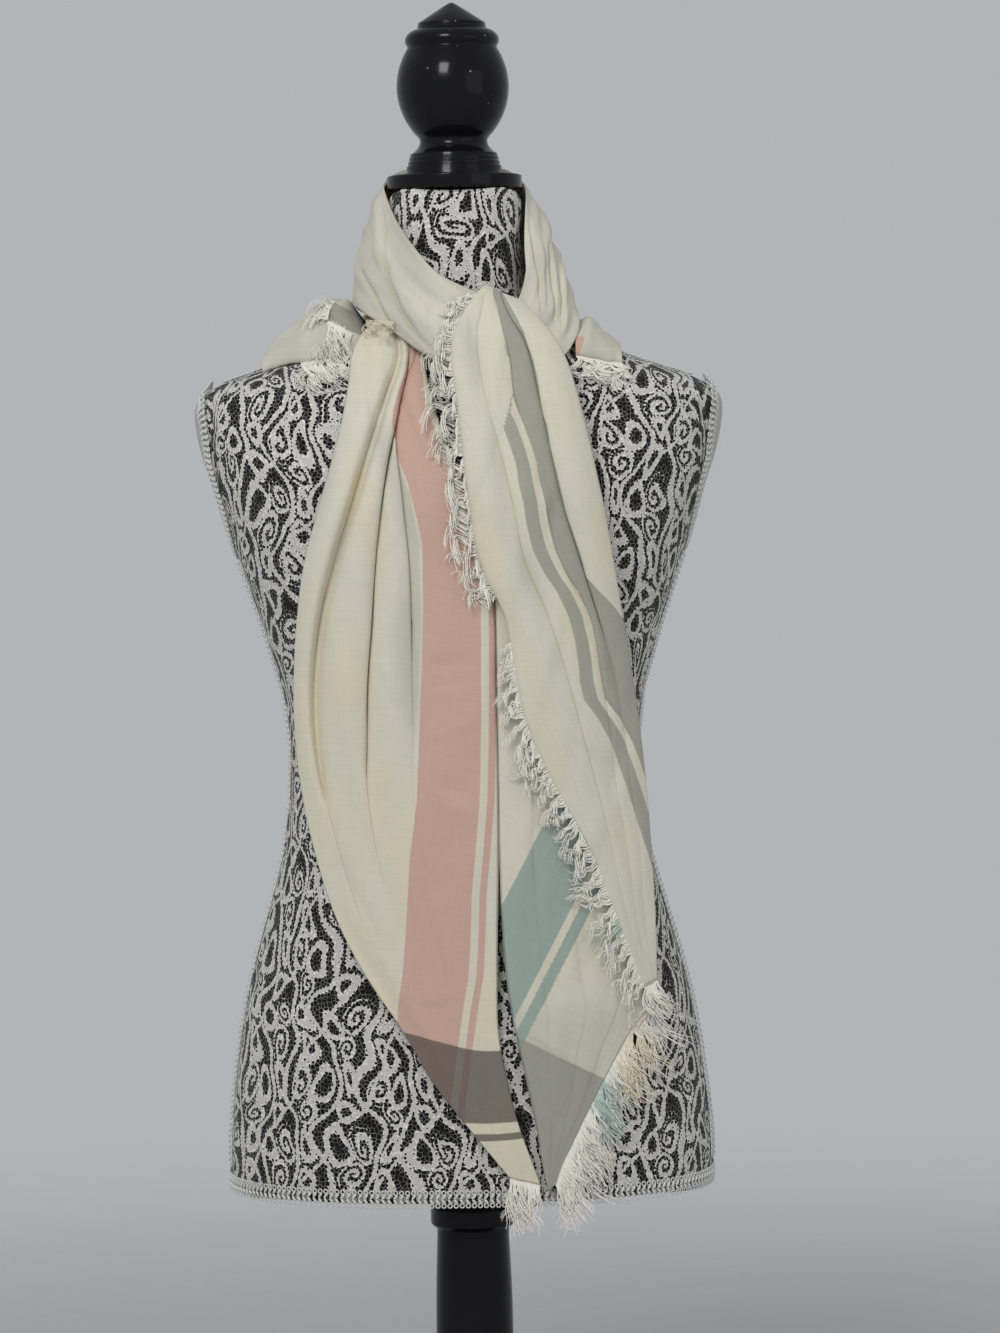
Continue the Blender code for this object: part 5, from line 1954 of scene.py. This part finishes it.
@dataclass
class Fringe:
    """Threads that hang from one raw edge, in small locks that curl."""

    name: str
    node: str | None
    edge: Grid
    surface: Surface
    lean: tuple[float, float]
    threads: int
    length: float
    fall: float
    clearance: float
    dye: Callable[[Grid], Grid]
    seed: int
    reach: list[tuple[float, float]] = field(default_factory=lambda: [(0.0, 1.0), (1.0, 1.0)])
    sink: float = 0.75
    curl: float = 2.6
    turns: tuple[float, float] = (0.7, 1.7)
    swing: float = 0.34
    lock: int = 7
    steps: int = 15
    radius: float = 0.38

    def build(self, finish: Material) -> Object:
        """Grow the threads.

        Args:
            finish: The threads' material.

        Returns:
            All threads as one mesh, which replaces the node where it has one.
        """
        spots = self.spots()
        paths = self.paths(spots)
        threads, steps = paths.shape[:2]
        points = self.tube_points(paths)
        obj = new_object(self.name, points, tube_faces(threads, steps), finish)
        facing = 1.0 if self.surface is Surface.BACK_FALL else -1.0
        outward = np.array((0.0, facing, 0.45))
        spread = (points - np.repeat(paths.reshape(-1, 3), 3, axis=0)) / self.radius
        obj.data.normals_split_custom_set_from_vertices((outward + 0.6 * spread).tolist())
        layer = obj.data.attributes.new("dye", "FLOAT_COLOR", "POINT")
        rgba = np.ones((threads * steps * 3, 4), np.float32)
        rgba[:, :3] = np.repeat(self.dye(spots), steps * 3, axis=0)
        layer.data.foreach_set("color", rgba.ravel())
        return dress(obj, "fringe", *([self.node] if self.node else []))

    def tube_points(self, paths: Grid) -> Grid:
        """Points of three-sided tubes along the paths."""
        tangent = np.gradient(paths, axis=1)
        tangent /= np.linalg.norm(tangent, axis=2, keepdims=True) + 1e-9
        first = np.cross(tangent, np.array((0.13, 0.97, 0.21)))
        first /= np.linalg.norm(first, axis=2, keepdims=True) + 1e-9
        second = np.cross(tangent, first)
        taper = np.linspace(1.0, 0.55, paths.shape[1])[None, :, None]
        rings = []
        for corner in range(3):
            turn = math.tau * corner / 3
            offset = (first * math.cos(turn) + second * math.sin(turn)) * self.radius * taper
            rings.append(paths + offset)
        return np.stack(rings, axis=2).reshape(-1, 3)

    def spots(self) -> Grid:
        """Places of the roots along the edge, from 0 to 1, where the reach isn't nothing."""
        rng = np.random.default_rng(self.seed)
        spots = (np.arange(self.threads) + rng.uniform(0.1, 0.9, self.threads)) / self.threads
        at, share = np.array(self.reach).T
        return spots[np.interp(spots, at, share) > 0.08]

    def paths(self, spots: Grid) -> Grid:
        """Work out the line of every thread.

        Args:
            spots: Places of the roots along the edge.

        Returns:
            An array of threads, steps and three places, in millimetres.
        """
        rng = np.random.default_rng(self.seed + 1)
        count = len(spots)
        lengths = lengths_along(self.edge)
        root = read_along(spots * lengths[-1], lengths, self.edge)
        locks = self.threads // self.lock + 1
        mine = np.minimum((spots * self.threads).astype(int) // self.lock, locks - 1)

        def shared(draw: Grid) -> Grid:
            """Give every thread its lock's draw."""
            return draw[mine][:, None]

        def own(spread: float) -> Grid:
            """Draw for every thread alone."""
            return rng.normal(0.0, spread, count)[:, None]

        t = np.linspace(0.0, 1.0, self.steps)[None, :]
        away = np.array(self.lean)
        aside = np.array((-away[1], away[0]))
        run = self.edge[-1] - self.edge[0]
        hand = math.copysign(1.0, run[0] * aside[0] + run[2] * aside[1])
        at, share = np.array(self.reach).T
        full = self.length * np.interp(spots, at, share)[:, None]
        full = full * shared(rng.uniform(0.7, 1.08, locks)) * (1.0 + own(0.08))
        swing = (shared(rng.normal(0.0, self.swing, locks)) + own(0.10)) * full * t**1.4
        middle = (mine + 0.5) * self.lock / self.threads
        gather = hand * ((middle - spots) * lengths[-1])[:, None] * smooth_step(t, 0.05, 0.7) * 0.75
        turns = shared(rng.uniform(*self.turns, locks)) + own(0.10)
        wave = shared(rng.uniform(0.0, math.tau, locks)) + own(0.25) + math.tau * turns * t
        size = self.curl * shared(rng.uniform(0.5, 1.5, locks)) * np.minimum(full / 16.0, 1.3)
        curl = size * (np.sin(wave) - np.sin(wave[:, :1])) * smooth_step(t, 0.0, 0.5)
        reach = full * (t - 0.18 * t**2) + size * 0.6 * np.cos(wave) * t**2
        drift = swing + gather + curl
        drop = self.fall * t**1.6 * full / self.length
        x = root[:, :1] + away[0] * reach + aside[0] * drift
        z = root[:, 2:] + away[1] * reach + aside[1] * drift - drop
        base = surface_point(self.surface, root[:, 0], root[:, 2], np.zeros(count))
        height = np.abs(root[:, 1] - base[:, 1])[:, None]
        rest = np.maximum(self.clearance, height * self.sink)
        stand = height + (rest - height) * smooth_step(t, 0.1, 0.9)
        bend = size * np.cos(wave) * smooth_step(t, 0.0, 0.6)
        stand = stand + shared(rng.uniform(0.0, 2.2, locks)) * t + bend + own(0.5) * t
        lowest = np.minimum(height, self.clearance) * (1.0 - t) + self.clearance * t
        return surface_point(self.surface, x, z, np.maximum(stand, lowest))


def tube_faces(threads: int, steps: int) -> list[tuple[int, ...]]:
    """Faces of three-sided tubes with closed ends."""
    faces: list[tuple[int, ...]] = []
    for thread in range(threads):
        start = thread * steps * 3
        faces.append((start + 2, start + 1, start))
        for step in range(steps - 1):
            here = start + step * 3
            for corner in range(3):
                beside = (corner + 1) % 3
                faces.append((here + corner, here + beside, here + 3 + beside, here + 3 + corner))
        end = start + (steps - 1) * 3
        faces.append((end, end + 1, end + 2))
    return faces


UNDYED: Rgb = (0.93, 0.895, 0.79)
MINT_THREAD: Rgb = (0.50, 0.62, 0.57)
BEIGE_THREAD: Rgb = (0.86, 0.77, 0.58)


def undyed(spots: Grid) -> Grid:
    """Threads all of the ground's colour, a little uneven."""
    rng = np.random.default_rng(5)
    shade = rng.uniform(0.88, 1.08, len(spots))[:, None]
    return np.array(UNDYED) * shade


def dyed_between(spans: list[tuple[float, float, Rgb]]) -> Callable[[Grid], Grid]:
    """Threads dyed where stripes end in the fringe.

    Args:
        spans: Start and end along the edge, from 0 to 1, and the dye of each span.

    Returns:
        A function from places along the edge to colours.
    """

    def dye(spots: Grid) -> Grid:
        """Colours of the threads at these places."""
        rng = np.random.default_rng(9)
        colours = undyed(spots)
        ragged = spots + rng.normal(0.0, 0.012, len(spots))
        for start, end, colour in spans:
            inside = (ragged > start) & (ragged < end)
            colours[inside] = np.array(colour) * rng.uniform(0.85, 1.1, inside.sum())[:, None]
        return colours

    return dye


def tail_edge(rows: list[TailRow], side: str, first: float, last: float) -> Grid:
    """The line of one edge of a tail.

    Args:
        rows: The tail's table.
        side: Which edge, left or right.
        first: Where it starts down the tail, from 0 to 1.
        last: Where it ends.

    Returns:
        Points along the edge.
    """
    table = smooth_table(rows, 200)[int(first * 199) : int(last * 199) + 1]
    x = table[:, 3 if side == "left" else 7]
    z = table[:, 0 if side == "left" else 1]
    return surface_point(Surface.FRONT_FALL, x, z, table[:, 2])


@dataclass
class Scarf:
    """The scarf as it is tied: its stretches of cloth and their fringes."""

    cloth: Material
    thread: Material

    def build(self) -> None:
        fringes = {fringe.node or fringe.name: fringe.build(self.thread) for fringe in self.fringes()}
        for stretch, rests_on, own in self.stretches():
            obj = stretch.build(self.cloth)
            LOG.info("cloth %s", obj.name)

    def stretches(self) -> list[tuple[object, list[str], list[str]]]:
        """Every stretch, with what it rests on and the nodes of its fringes."""
        return [
            (self.left_tail(), ["lace_cover"], ["fringe_left_tip"]),
            (self.right_under(), ["lace_cover"], ["fringe_right_under"]),
            (self.right_tail(), ["lace_cover", "doubled_layer"], ["fringe_right_tail"]),
            (NeckLoop(), ["lace_cover"], []),
            (self.left_shoulder(), ["lace_cover"], ["fringe_shoulder_left"]),
            (self.right_shoulder(), ["lace_cover"], ["fringe_shoulder_right"]),
            (BackCorner(), ["lace_cover"], ["fringe_back_left", "fringe_back_right"]),
        ]

    def left_tail(self) -> Tail:
        """The tail with the rose stripe."""

        def place(x: Grid, z: Grid) -> tuple[Grid, Grid]:
            """Where the cloth at (x, z) lies on the flat square."""
            u = SQUARE - stripe_distance(ROSE_PLACE, x, z)
            bow = 15.0 * smooth_step(-x, -15.0, 58.0) * smooth_step(z, 366.0, 410.0)
            level = z - bow - 0.0022 * (x - 14.0) ** 2 * smooth_step(z, 390.0, 360.0)
            marks = [308.0, 350.5, 355.5, 363.5, 415.0, 960.0]
            steps = [22.0, 75.0, 80.0, 85.5, 135.5, 700.0]
            return u, SQUARE - np.interp(level, marks, steps)

        def tone(x: Grid, z: Grid) -> Grid:
            """Warmth of the cloth at (x, z), cooler below zero, with painted shade on the outer lobe and in
            the first crease.
            """
            # Painted shade: the upper part of the outer lobe, on the left, turns cooler and darker.
            side = -0.8 * smooth_step(-x, 60.0, 95.0) * smooth_step(z, 690.0, 860.0)
            inner = stripe_distance(ROSE_PLACE, x, z)
            beside = smooth_step(inner, 134.0, 138.0) * (1.0 - smooth_step(inner, 140.0, 176.0))
            pale = -1.3 * beside * smooth_step(z, 590.0, 700.0) * (1.0 - smooth_step(z, 830.0, 900.0))
            # Painted shade inside the first crease, in the warmer colour, fading out from 640 mm down to 560
            # mm.
            line = np.interp(z, *np.array([(row.z_left, row.crease_1) for row in LEFT_TAIL[:1:-1]]).T)
            inside = 0.12 * np.exp(-(((x - line - 1.0) / 3.0) ** 2)) * smooth_step(z, 560.0, 640.0)
            return 0.45 + side + pale + inside + 0.25 * ripple(x, z, 73, 50.0, 130.0)

        return Tail(
            "rose_tail",
            ("scarf_left_tail",),
            LEFT_TAIL,
            place,
            tone,
            (0.165, 0.62),
            gaps=ROSE_GAPS,
            wrinkles=ROSE_WRINKLES,
            creases=ROSE_CREASES,
            seed=11,
        )

    def right_tail(self) -> Tail:
        """The tail that humps over the knot and falls, with its raw edge to the left."""

        def place(x: Grid, z: Grid) -> tuple[Grid, Grid]:
            """Where the cloth at (x, z) lies on the flat square."""
            distance = stripe_distance(SAGE_PLACE, x, z, 10.0)
            flap = z - 861.0 - 2.6 * (x - 33.0)
            covered = smooth_step(flap, -1.0, 1.0) * (distance < WIDE_STRIPE[0] - 0.2)
            return 500.0 + (960.0 - z), np.maximum(distance - 16.0 * covered, 2.0)

        def tone(x: Grid, z: Grid) -> Grid:
            """Warmth of the cloth at (x, z), cooler below zero."""
            return 0.15 + 0.35 * ripple(x, z, 71, 50.0, 130.0)

        return Tail(
            "sage_tail",
            ("scarf_right_tail",),
            RIGHT_TAIL,
            place,
            tone,
            (0.105, 0.66),
            gaps=SAGE_GAPS,
            wrinkles=SAGE_WRINKLES,
            creases=SAGE_CREASES,
            skew=0.85,
            raw_left=True,
            under=7.4,
            least=8.0,
            levels=210,
            seed=12,
        )

    def right_under(self) -> Tail:
        """The doubled layer with the mint stripe."""
        edge_a, edge_b = (132.0, 460.0), (59.0, 324.0)
        run = math.hypot(edge_a[0] - edge_b[0], edge_a[1] - edge_b[1])
        along = ((edge_b[0] - edge_a[0]) / run, (edge_b[1] - edge_a[1]) / run)

        def place(x: Grid, z: Grid) -> tuple[Grid, Grid]:
            """Where the cloth at (x, z) lies on the flat square."""
            dx, dz = x - edge_a[0], z - edge_a[1]
            u = widen_thin(np.abs(dx * along[1] - dz * along[0]) * 1.115, 10.0)
            down = dx * along[0] + dz * along[1]
            v = 135.5 - (down - 77.0) * 0.62
            return np.maximum(u, 1.0), np.clip(v, 87.0, 900.0)

        def tone(x: Grid, z: Grid) -> Grid:
            """Warmth of the cloth at (x, z), cooler below zero: greyer below about 450 mm."""
            return -0.9 * smooth_step(-z, -470.0, -430.0) + 0.3

        return Tail(
            "doubled_layer",
            ("scarf_right_under",),
            RIGHT_UNDER,
            place,
            tone,
            (0.1, 0.42),
            wrinkles=LAYER_WRINKLES,
            creases=LAYER_CREASES,
            levels=140,
            lobe_columns=12,
            seed=13,
        )

    def left_shoulder(self) -> ShoulderFold:
        """The fold over the left shoulder, where the sage stripe shows at its inner end."""

        def place(x: Grid, z: Grid) -> tuple[Grid, Grid]:
            """Where the cloth at (x, z) lies on the flat square."""
            above = z - 934.0 + 0.556 * (x + 92.0)
            inside = (above > 0.0) & (x > -92.5)
            return 600.0 + z - 900.0, np.where(inside, 86.0 + above * 3.4, 260.0)

        return ShoulderFold(
            "shoulder_fold_left",
            ("scarf_shoulder_left",),
            SHOULDER_LEFT,
            place,
            (0.09, 0.2),
            -84.0,
            41,
        )

    def right_shoulder(self) -> ShoulderFold:
        """The fold over the right shoulder, with a sliver of rose at its inner end."""

        def place(x: Grid, z: Grid) -> tuple[Grid, Grid]:
            """Where the cloth at (x, z) lies on the flat square."""
            sliver = (x < 87.0 + 0.4 * (z - 905.0)) & (z < 918.0)
            return SQUARE - np.where(sliver, 95.0, 260.0), 600.0 + z - 900.0

        return ShoulderFold(
            "shoulder_fold_right",
            ("scarf_shoulder_right",),
            SHOULDER_RIGHT,
            place,
            (0.04, 0.19),
            104.0,
            43,
        )

    def fringes(self) -> list[Fringe]:
        """Every fringe, each along its own raw edge."""
        back = smooth_table(BACK_ROWS, 120)[6:]
        back_left = back_points(back, np.zeros((1, 1)), False)[:, 0]
        back_right = back_points(back, np.ones((1, 1)), False)[:, 0]
        shoulder_left = arch_points(smooth_table(SHOULDER_LEFT, 66)[24:58], 8)[:, 0]
        shoulder_right = arch_points(smooth_table(SHOULDER_RIGHT, 40), 8)[:, 0]
        tip = np.array([tail_edge(LEFT_TAIL, side, 0.96, 1.0)[-1] for side in ("left", "right")])
        corner = np.array([tail_edge(RIGHT_TAIL, side, 0.90, 1.0)[-1] for side in ("left", "right")])
        side = np.array(((-88, -12, 948), (-91, -24, 941), (-92, -36, 934)), float)
        below = np.array(((-92, -37, 933), (-82, -46, 928), (-74, -55, 923)), float)
        knot = np.array(((10, -79, 951), (0, -87, 944), (-5, -96, 932), (-4, -101, 918)), float)
        seam = np.array(((-64, -68, 933), (-54, -77, 932), (-44, -86, 931)), float)
        front, form, rear = Surface.FRONT_FALL, Surface.FRONT_FORM, Surface.BACK_FALL
        fold = Surface.SHOULDER_FOLD
        mint_end = dyed_between([(0.40, 0.62, MINT_THREAD), (0.10, 0.38, BEIGE_THREAD)])
        beige = dyed_between([(-1.0, 2.0, BEIGE_THREAD)])
        mint_mid = dyed_between([(0.80, 0.84, MINT_THREAD)])
        upper_edge = tail_edge(RIGHT_TAIL, "left", 0.22, 0.66)
        lower_edge = tail_edge(RIGHT_TAIL, "left", 0.69, 1.0)
        layer_edge = tail_edge(RIGHT_UNDER, "right", 0.66, 1.0)
        upper_reach = [(0.0, 0.3), (0.1, 0.5), (0.24, 1.0), (0.92, 0.9), (0.96, 0.0), (1.0, 0.0)]
        lower_reach = [(0.0, 0.5), (0.1, 0.95), (1.0, 1.15)]
        low_reach = [(0.0, 0.0), (0.08, 0.5), (0.25, 1.0), (0.8, 1.1), (1.0, 0.8)]
        west, east, down = (-0.86, -0.5), (0.36, -0.93), (-0.05, -1.0)
        return [
            Fringe(
                "curled_fringe", "fringe_right_tail", upper_edge, front, west,
                290, 23.0, 9.0, 10.0, undyed, 101, upper_reach, curl=4.2,
            ),
            Fringe(
                "combed_fringe", None, lower_edge, front, (-0.8, -0.6),
                380, 22.0, 5.0, 10.0, mint_mid, 111, lower_reach, 0.95, 1.4, (1.6, 3.0),
            ),
            Fringe(
                "layer_fringe", "fringe_right_under", layer_edge, front, east,
                430, 41.0, 6.0, 2.5, mint_end, 102, curl=1.1, turns=(0.8, 1.8), radius=0.42,
                swing=0.2,
            ),
            Fringe(
                "low_fringe", None, layer_edge, front, (0.3, -0.95),
                260, 44.0, 4.0, 1.2, undyed, 112, low_reach, 0.3, 1.5, (0.8, 1.8), swing=0.24,
            ),
            Fringe(
                "corner_fringe", None, corner, front, (0.22, -0.98),
                110, 32.0, 3.0, 6.0, undyed, 114, sink=0.5, curl=1.6, turns=(0.8, 1.6), swing=0.24,
            ),
            Fringe(
                "tip_fringe", "fringe_left_tip", tip, front, down,
                90, 38.0, 3.0, 2.5, undyed, 103, curl=1.6, swing=0.24,
            ),
            Fringe(
                "fold_fringe_left", "fringe_shoulder_left", shoulder_left, form, down,
                150, 20.0, 3.0, 1.5, undyed, 104,
            ),
            Fringe(
                "fold_fringe_right", "fringe_shoulder_right", shoulder_right, form, (0.3, -0.95),
                120, 18.0, 3.0, 1.5, undyed, 105, curl=3.6,
            ),
            Fringe(
                "side_fringe", None, side, fold, (-0.99, 0.05),
                64, 22.0, 5.0, 1.5, undyed, 108, swing=0.24, radius=0.3,
            ),
            Fringe(
                "below_fringe", None, below, fold, (-0.3, -0.95),
                90, 32.0, 2.0, 1.5, undyed, 110, swing=0.24, radius=0.3,
            ),
            Fringe("knot_fray", None, knot, front, (-0.7, -0.7), 80, 8.0, 0.0, 14.0, undyed, 109, sink=1.0),
            Fringe(
                "seam_fray", None, seam, front, (-0.3, -0.95),
                34, 11.0, 2.0, 4.0, beige, 113, sink=0.9, curl=4.2, swing=0.5, radius=0.24,
            ),
            Fringe(
                "back_fringe_left", "fringe_back_left", back_left, rear, (-0.85, -0.53),
                560, 28.0, 9.0, 3.0, undyed, 106, radius=0.46,
            ),
            Fringe(
                "back_fringe_right", "fringe_back_right", back_right, rear, (0.85, -0.53),
                560, 28.0, 9.0, 3.0, undyed, 107, radius=0.46,
            ),
        ]


@dataclass
class Studio:
    """Floor, lights and camera."""

    camera_at: tuple[float, float, float] = (0.027, -3.2, 0.860)
    camera_to: tuple[float, float, float] = (0.027, 0.0, 0.680)
    roll: float = 1.0
    lens: float = 118.4
    backdrop: Rgb = (0.450, 0.457, 0.475)

    def build(self) -> None:
        """Set up the world, the floor, the lights and the camera."""
        self.light_world()
        self.lay_floor()
        self.hang_light("key", (-0.75, -2.2, 2.4), (0.0, 0.0, 0.75), 0.8, 29.0)
        self.hang_light("fill", (1.9, -1.8, 1.3), (0.0, 0.0, 0.7), 1.6, 4.0)
        self.place_camera()

    def light_world(self) -> None:
        """Give the world one pale grey."""
        world = bpy.data.worlds.new("studio")
        bpy.context.scene.world = world
        world.use_nodes = True
        background = world.node_tree.nodes["Background"]
        background.inputs["Color"].default_value = (*self.backdrop, 1.0)
        background.inputs["Strength"].default_value = 1.0
        bpy.context.scene.view_settings.view_transform = "Standard"

    def lay_floor(self) -> None:
        """Lay a round pale floor that fades out at its rim."""
        deselect_all()
        bpy.ops.mesh.primitive_circle_add(vertices=96, radius=2.4, fill_type="NGON")
        floor = bpy.context.object
        floor.name = "floor"
        material, w, shader = new_material("pale_floor", 0.9)
        place = w.add("ShaderNodeTexCoord").outputs["Object"]
        distance = w.vector("LENGTH", place)
        node = distance.node
        w.put(shader.inputs["Alpha"], w.step(node.outputs["Value"], 2.2, 0.5))
        fleck = w.plus(w.times(w.noise(place, 60.0, 3.0), 0.04), 0.5)
        w.put(shader.inputs["Base Color"], w.combine(fleck, fleck, w.times(fleck, 1.03)))
        floor.data.materials.append(material)

    def hang_light(self, name: str, at: tuple, to: tuple, size: float, power: float) -> None:
        """Hang one soft square light.

        Args:
            name: The light's name.
            at: Where it hangs.
            to: What it faces.
            size: The length of its side, in metres.
            power: Its power, in watts.
        """
        data = bpy.data.lights.new(name, "AREA")
        data.size = size
        data.energy = power
        light = bpy.data.objects.new(name, data)
        bpy.context.scene.collection.objects.link(light)
        light.location = at
        light.rotation_euler = (Vector(to) - Vector(at)).to_track_quat("-Z", "Y").to_euler()

    def place_camera(self) -> None:
        """Place the camera where the photographer stood."""
        data = bpy.data.cameras.new("camera")
        data.lens = self.lens
        data.clip_start = 0.05
        camera = bpy.data.objects.new("camera", data)
        bpy.context.scene.collection.objects.link(camera)
        camera.location = self.camera_at
        aim = (Vector(self.camera_to) - Vector(self.camera_at)).to_track_quat("-Z", "Y")
        camera.rotation_euler = aim.to_euler()
        camera.rotation_euler.rotate_axis("Z", math.radians(-self.roll))
        bpy.context.scene.camera = camera


def main() -> None:
    """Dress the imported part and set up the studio."""
    logging.basicConfig(level=logging.INFO, format="%(message)s")
    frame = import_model()
    Studio().build()
    lacquer = LacquerFinish().material("black_lacquer", 0.0)
    for part in (BASE, COLUMN):
        LOG.info("stand %s", part.build(lacquer).name)
    LOG.info("stand %s", FINIAL.build(LacquerFinish().material("worn_lacquer", 1.0)).name)
    form = DressForm(LaceFinish().material(lace_group()), BraidFinish().material())
    LOG.info("form %s", form.build_cover(frame).name)
    for braid in form.build_braids():
        LOG.info("form %s", braid.name)
    cloth = ClothFinish().material(border_stripe_group(), weave_group())
    Scarf(cloth, ThreadFinish().material()).build()


if __name__ == "__main__":
    main()
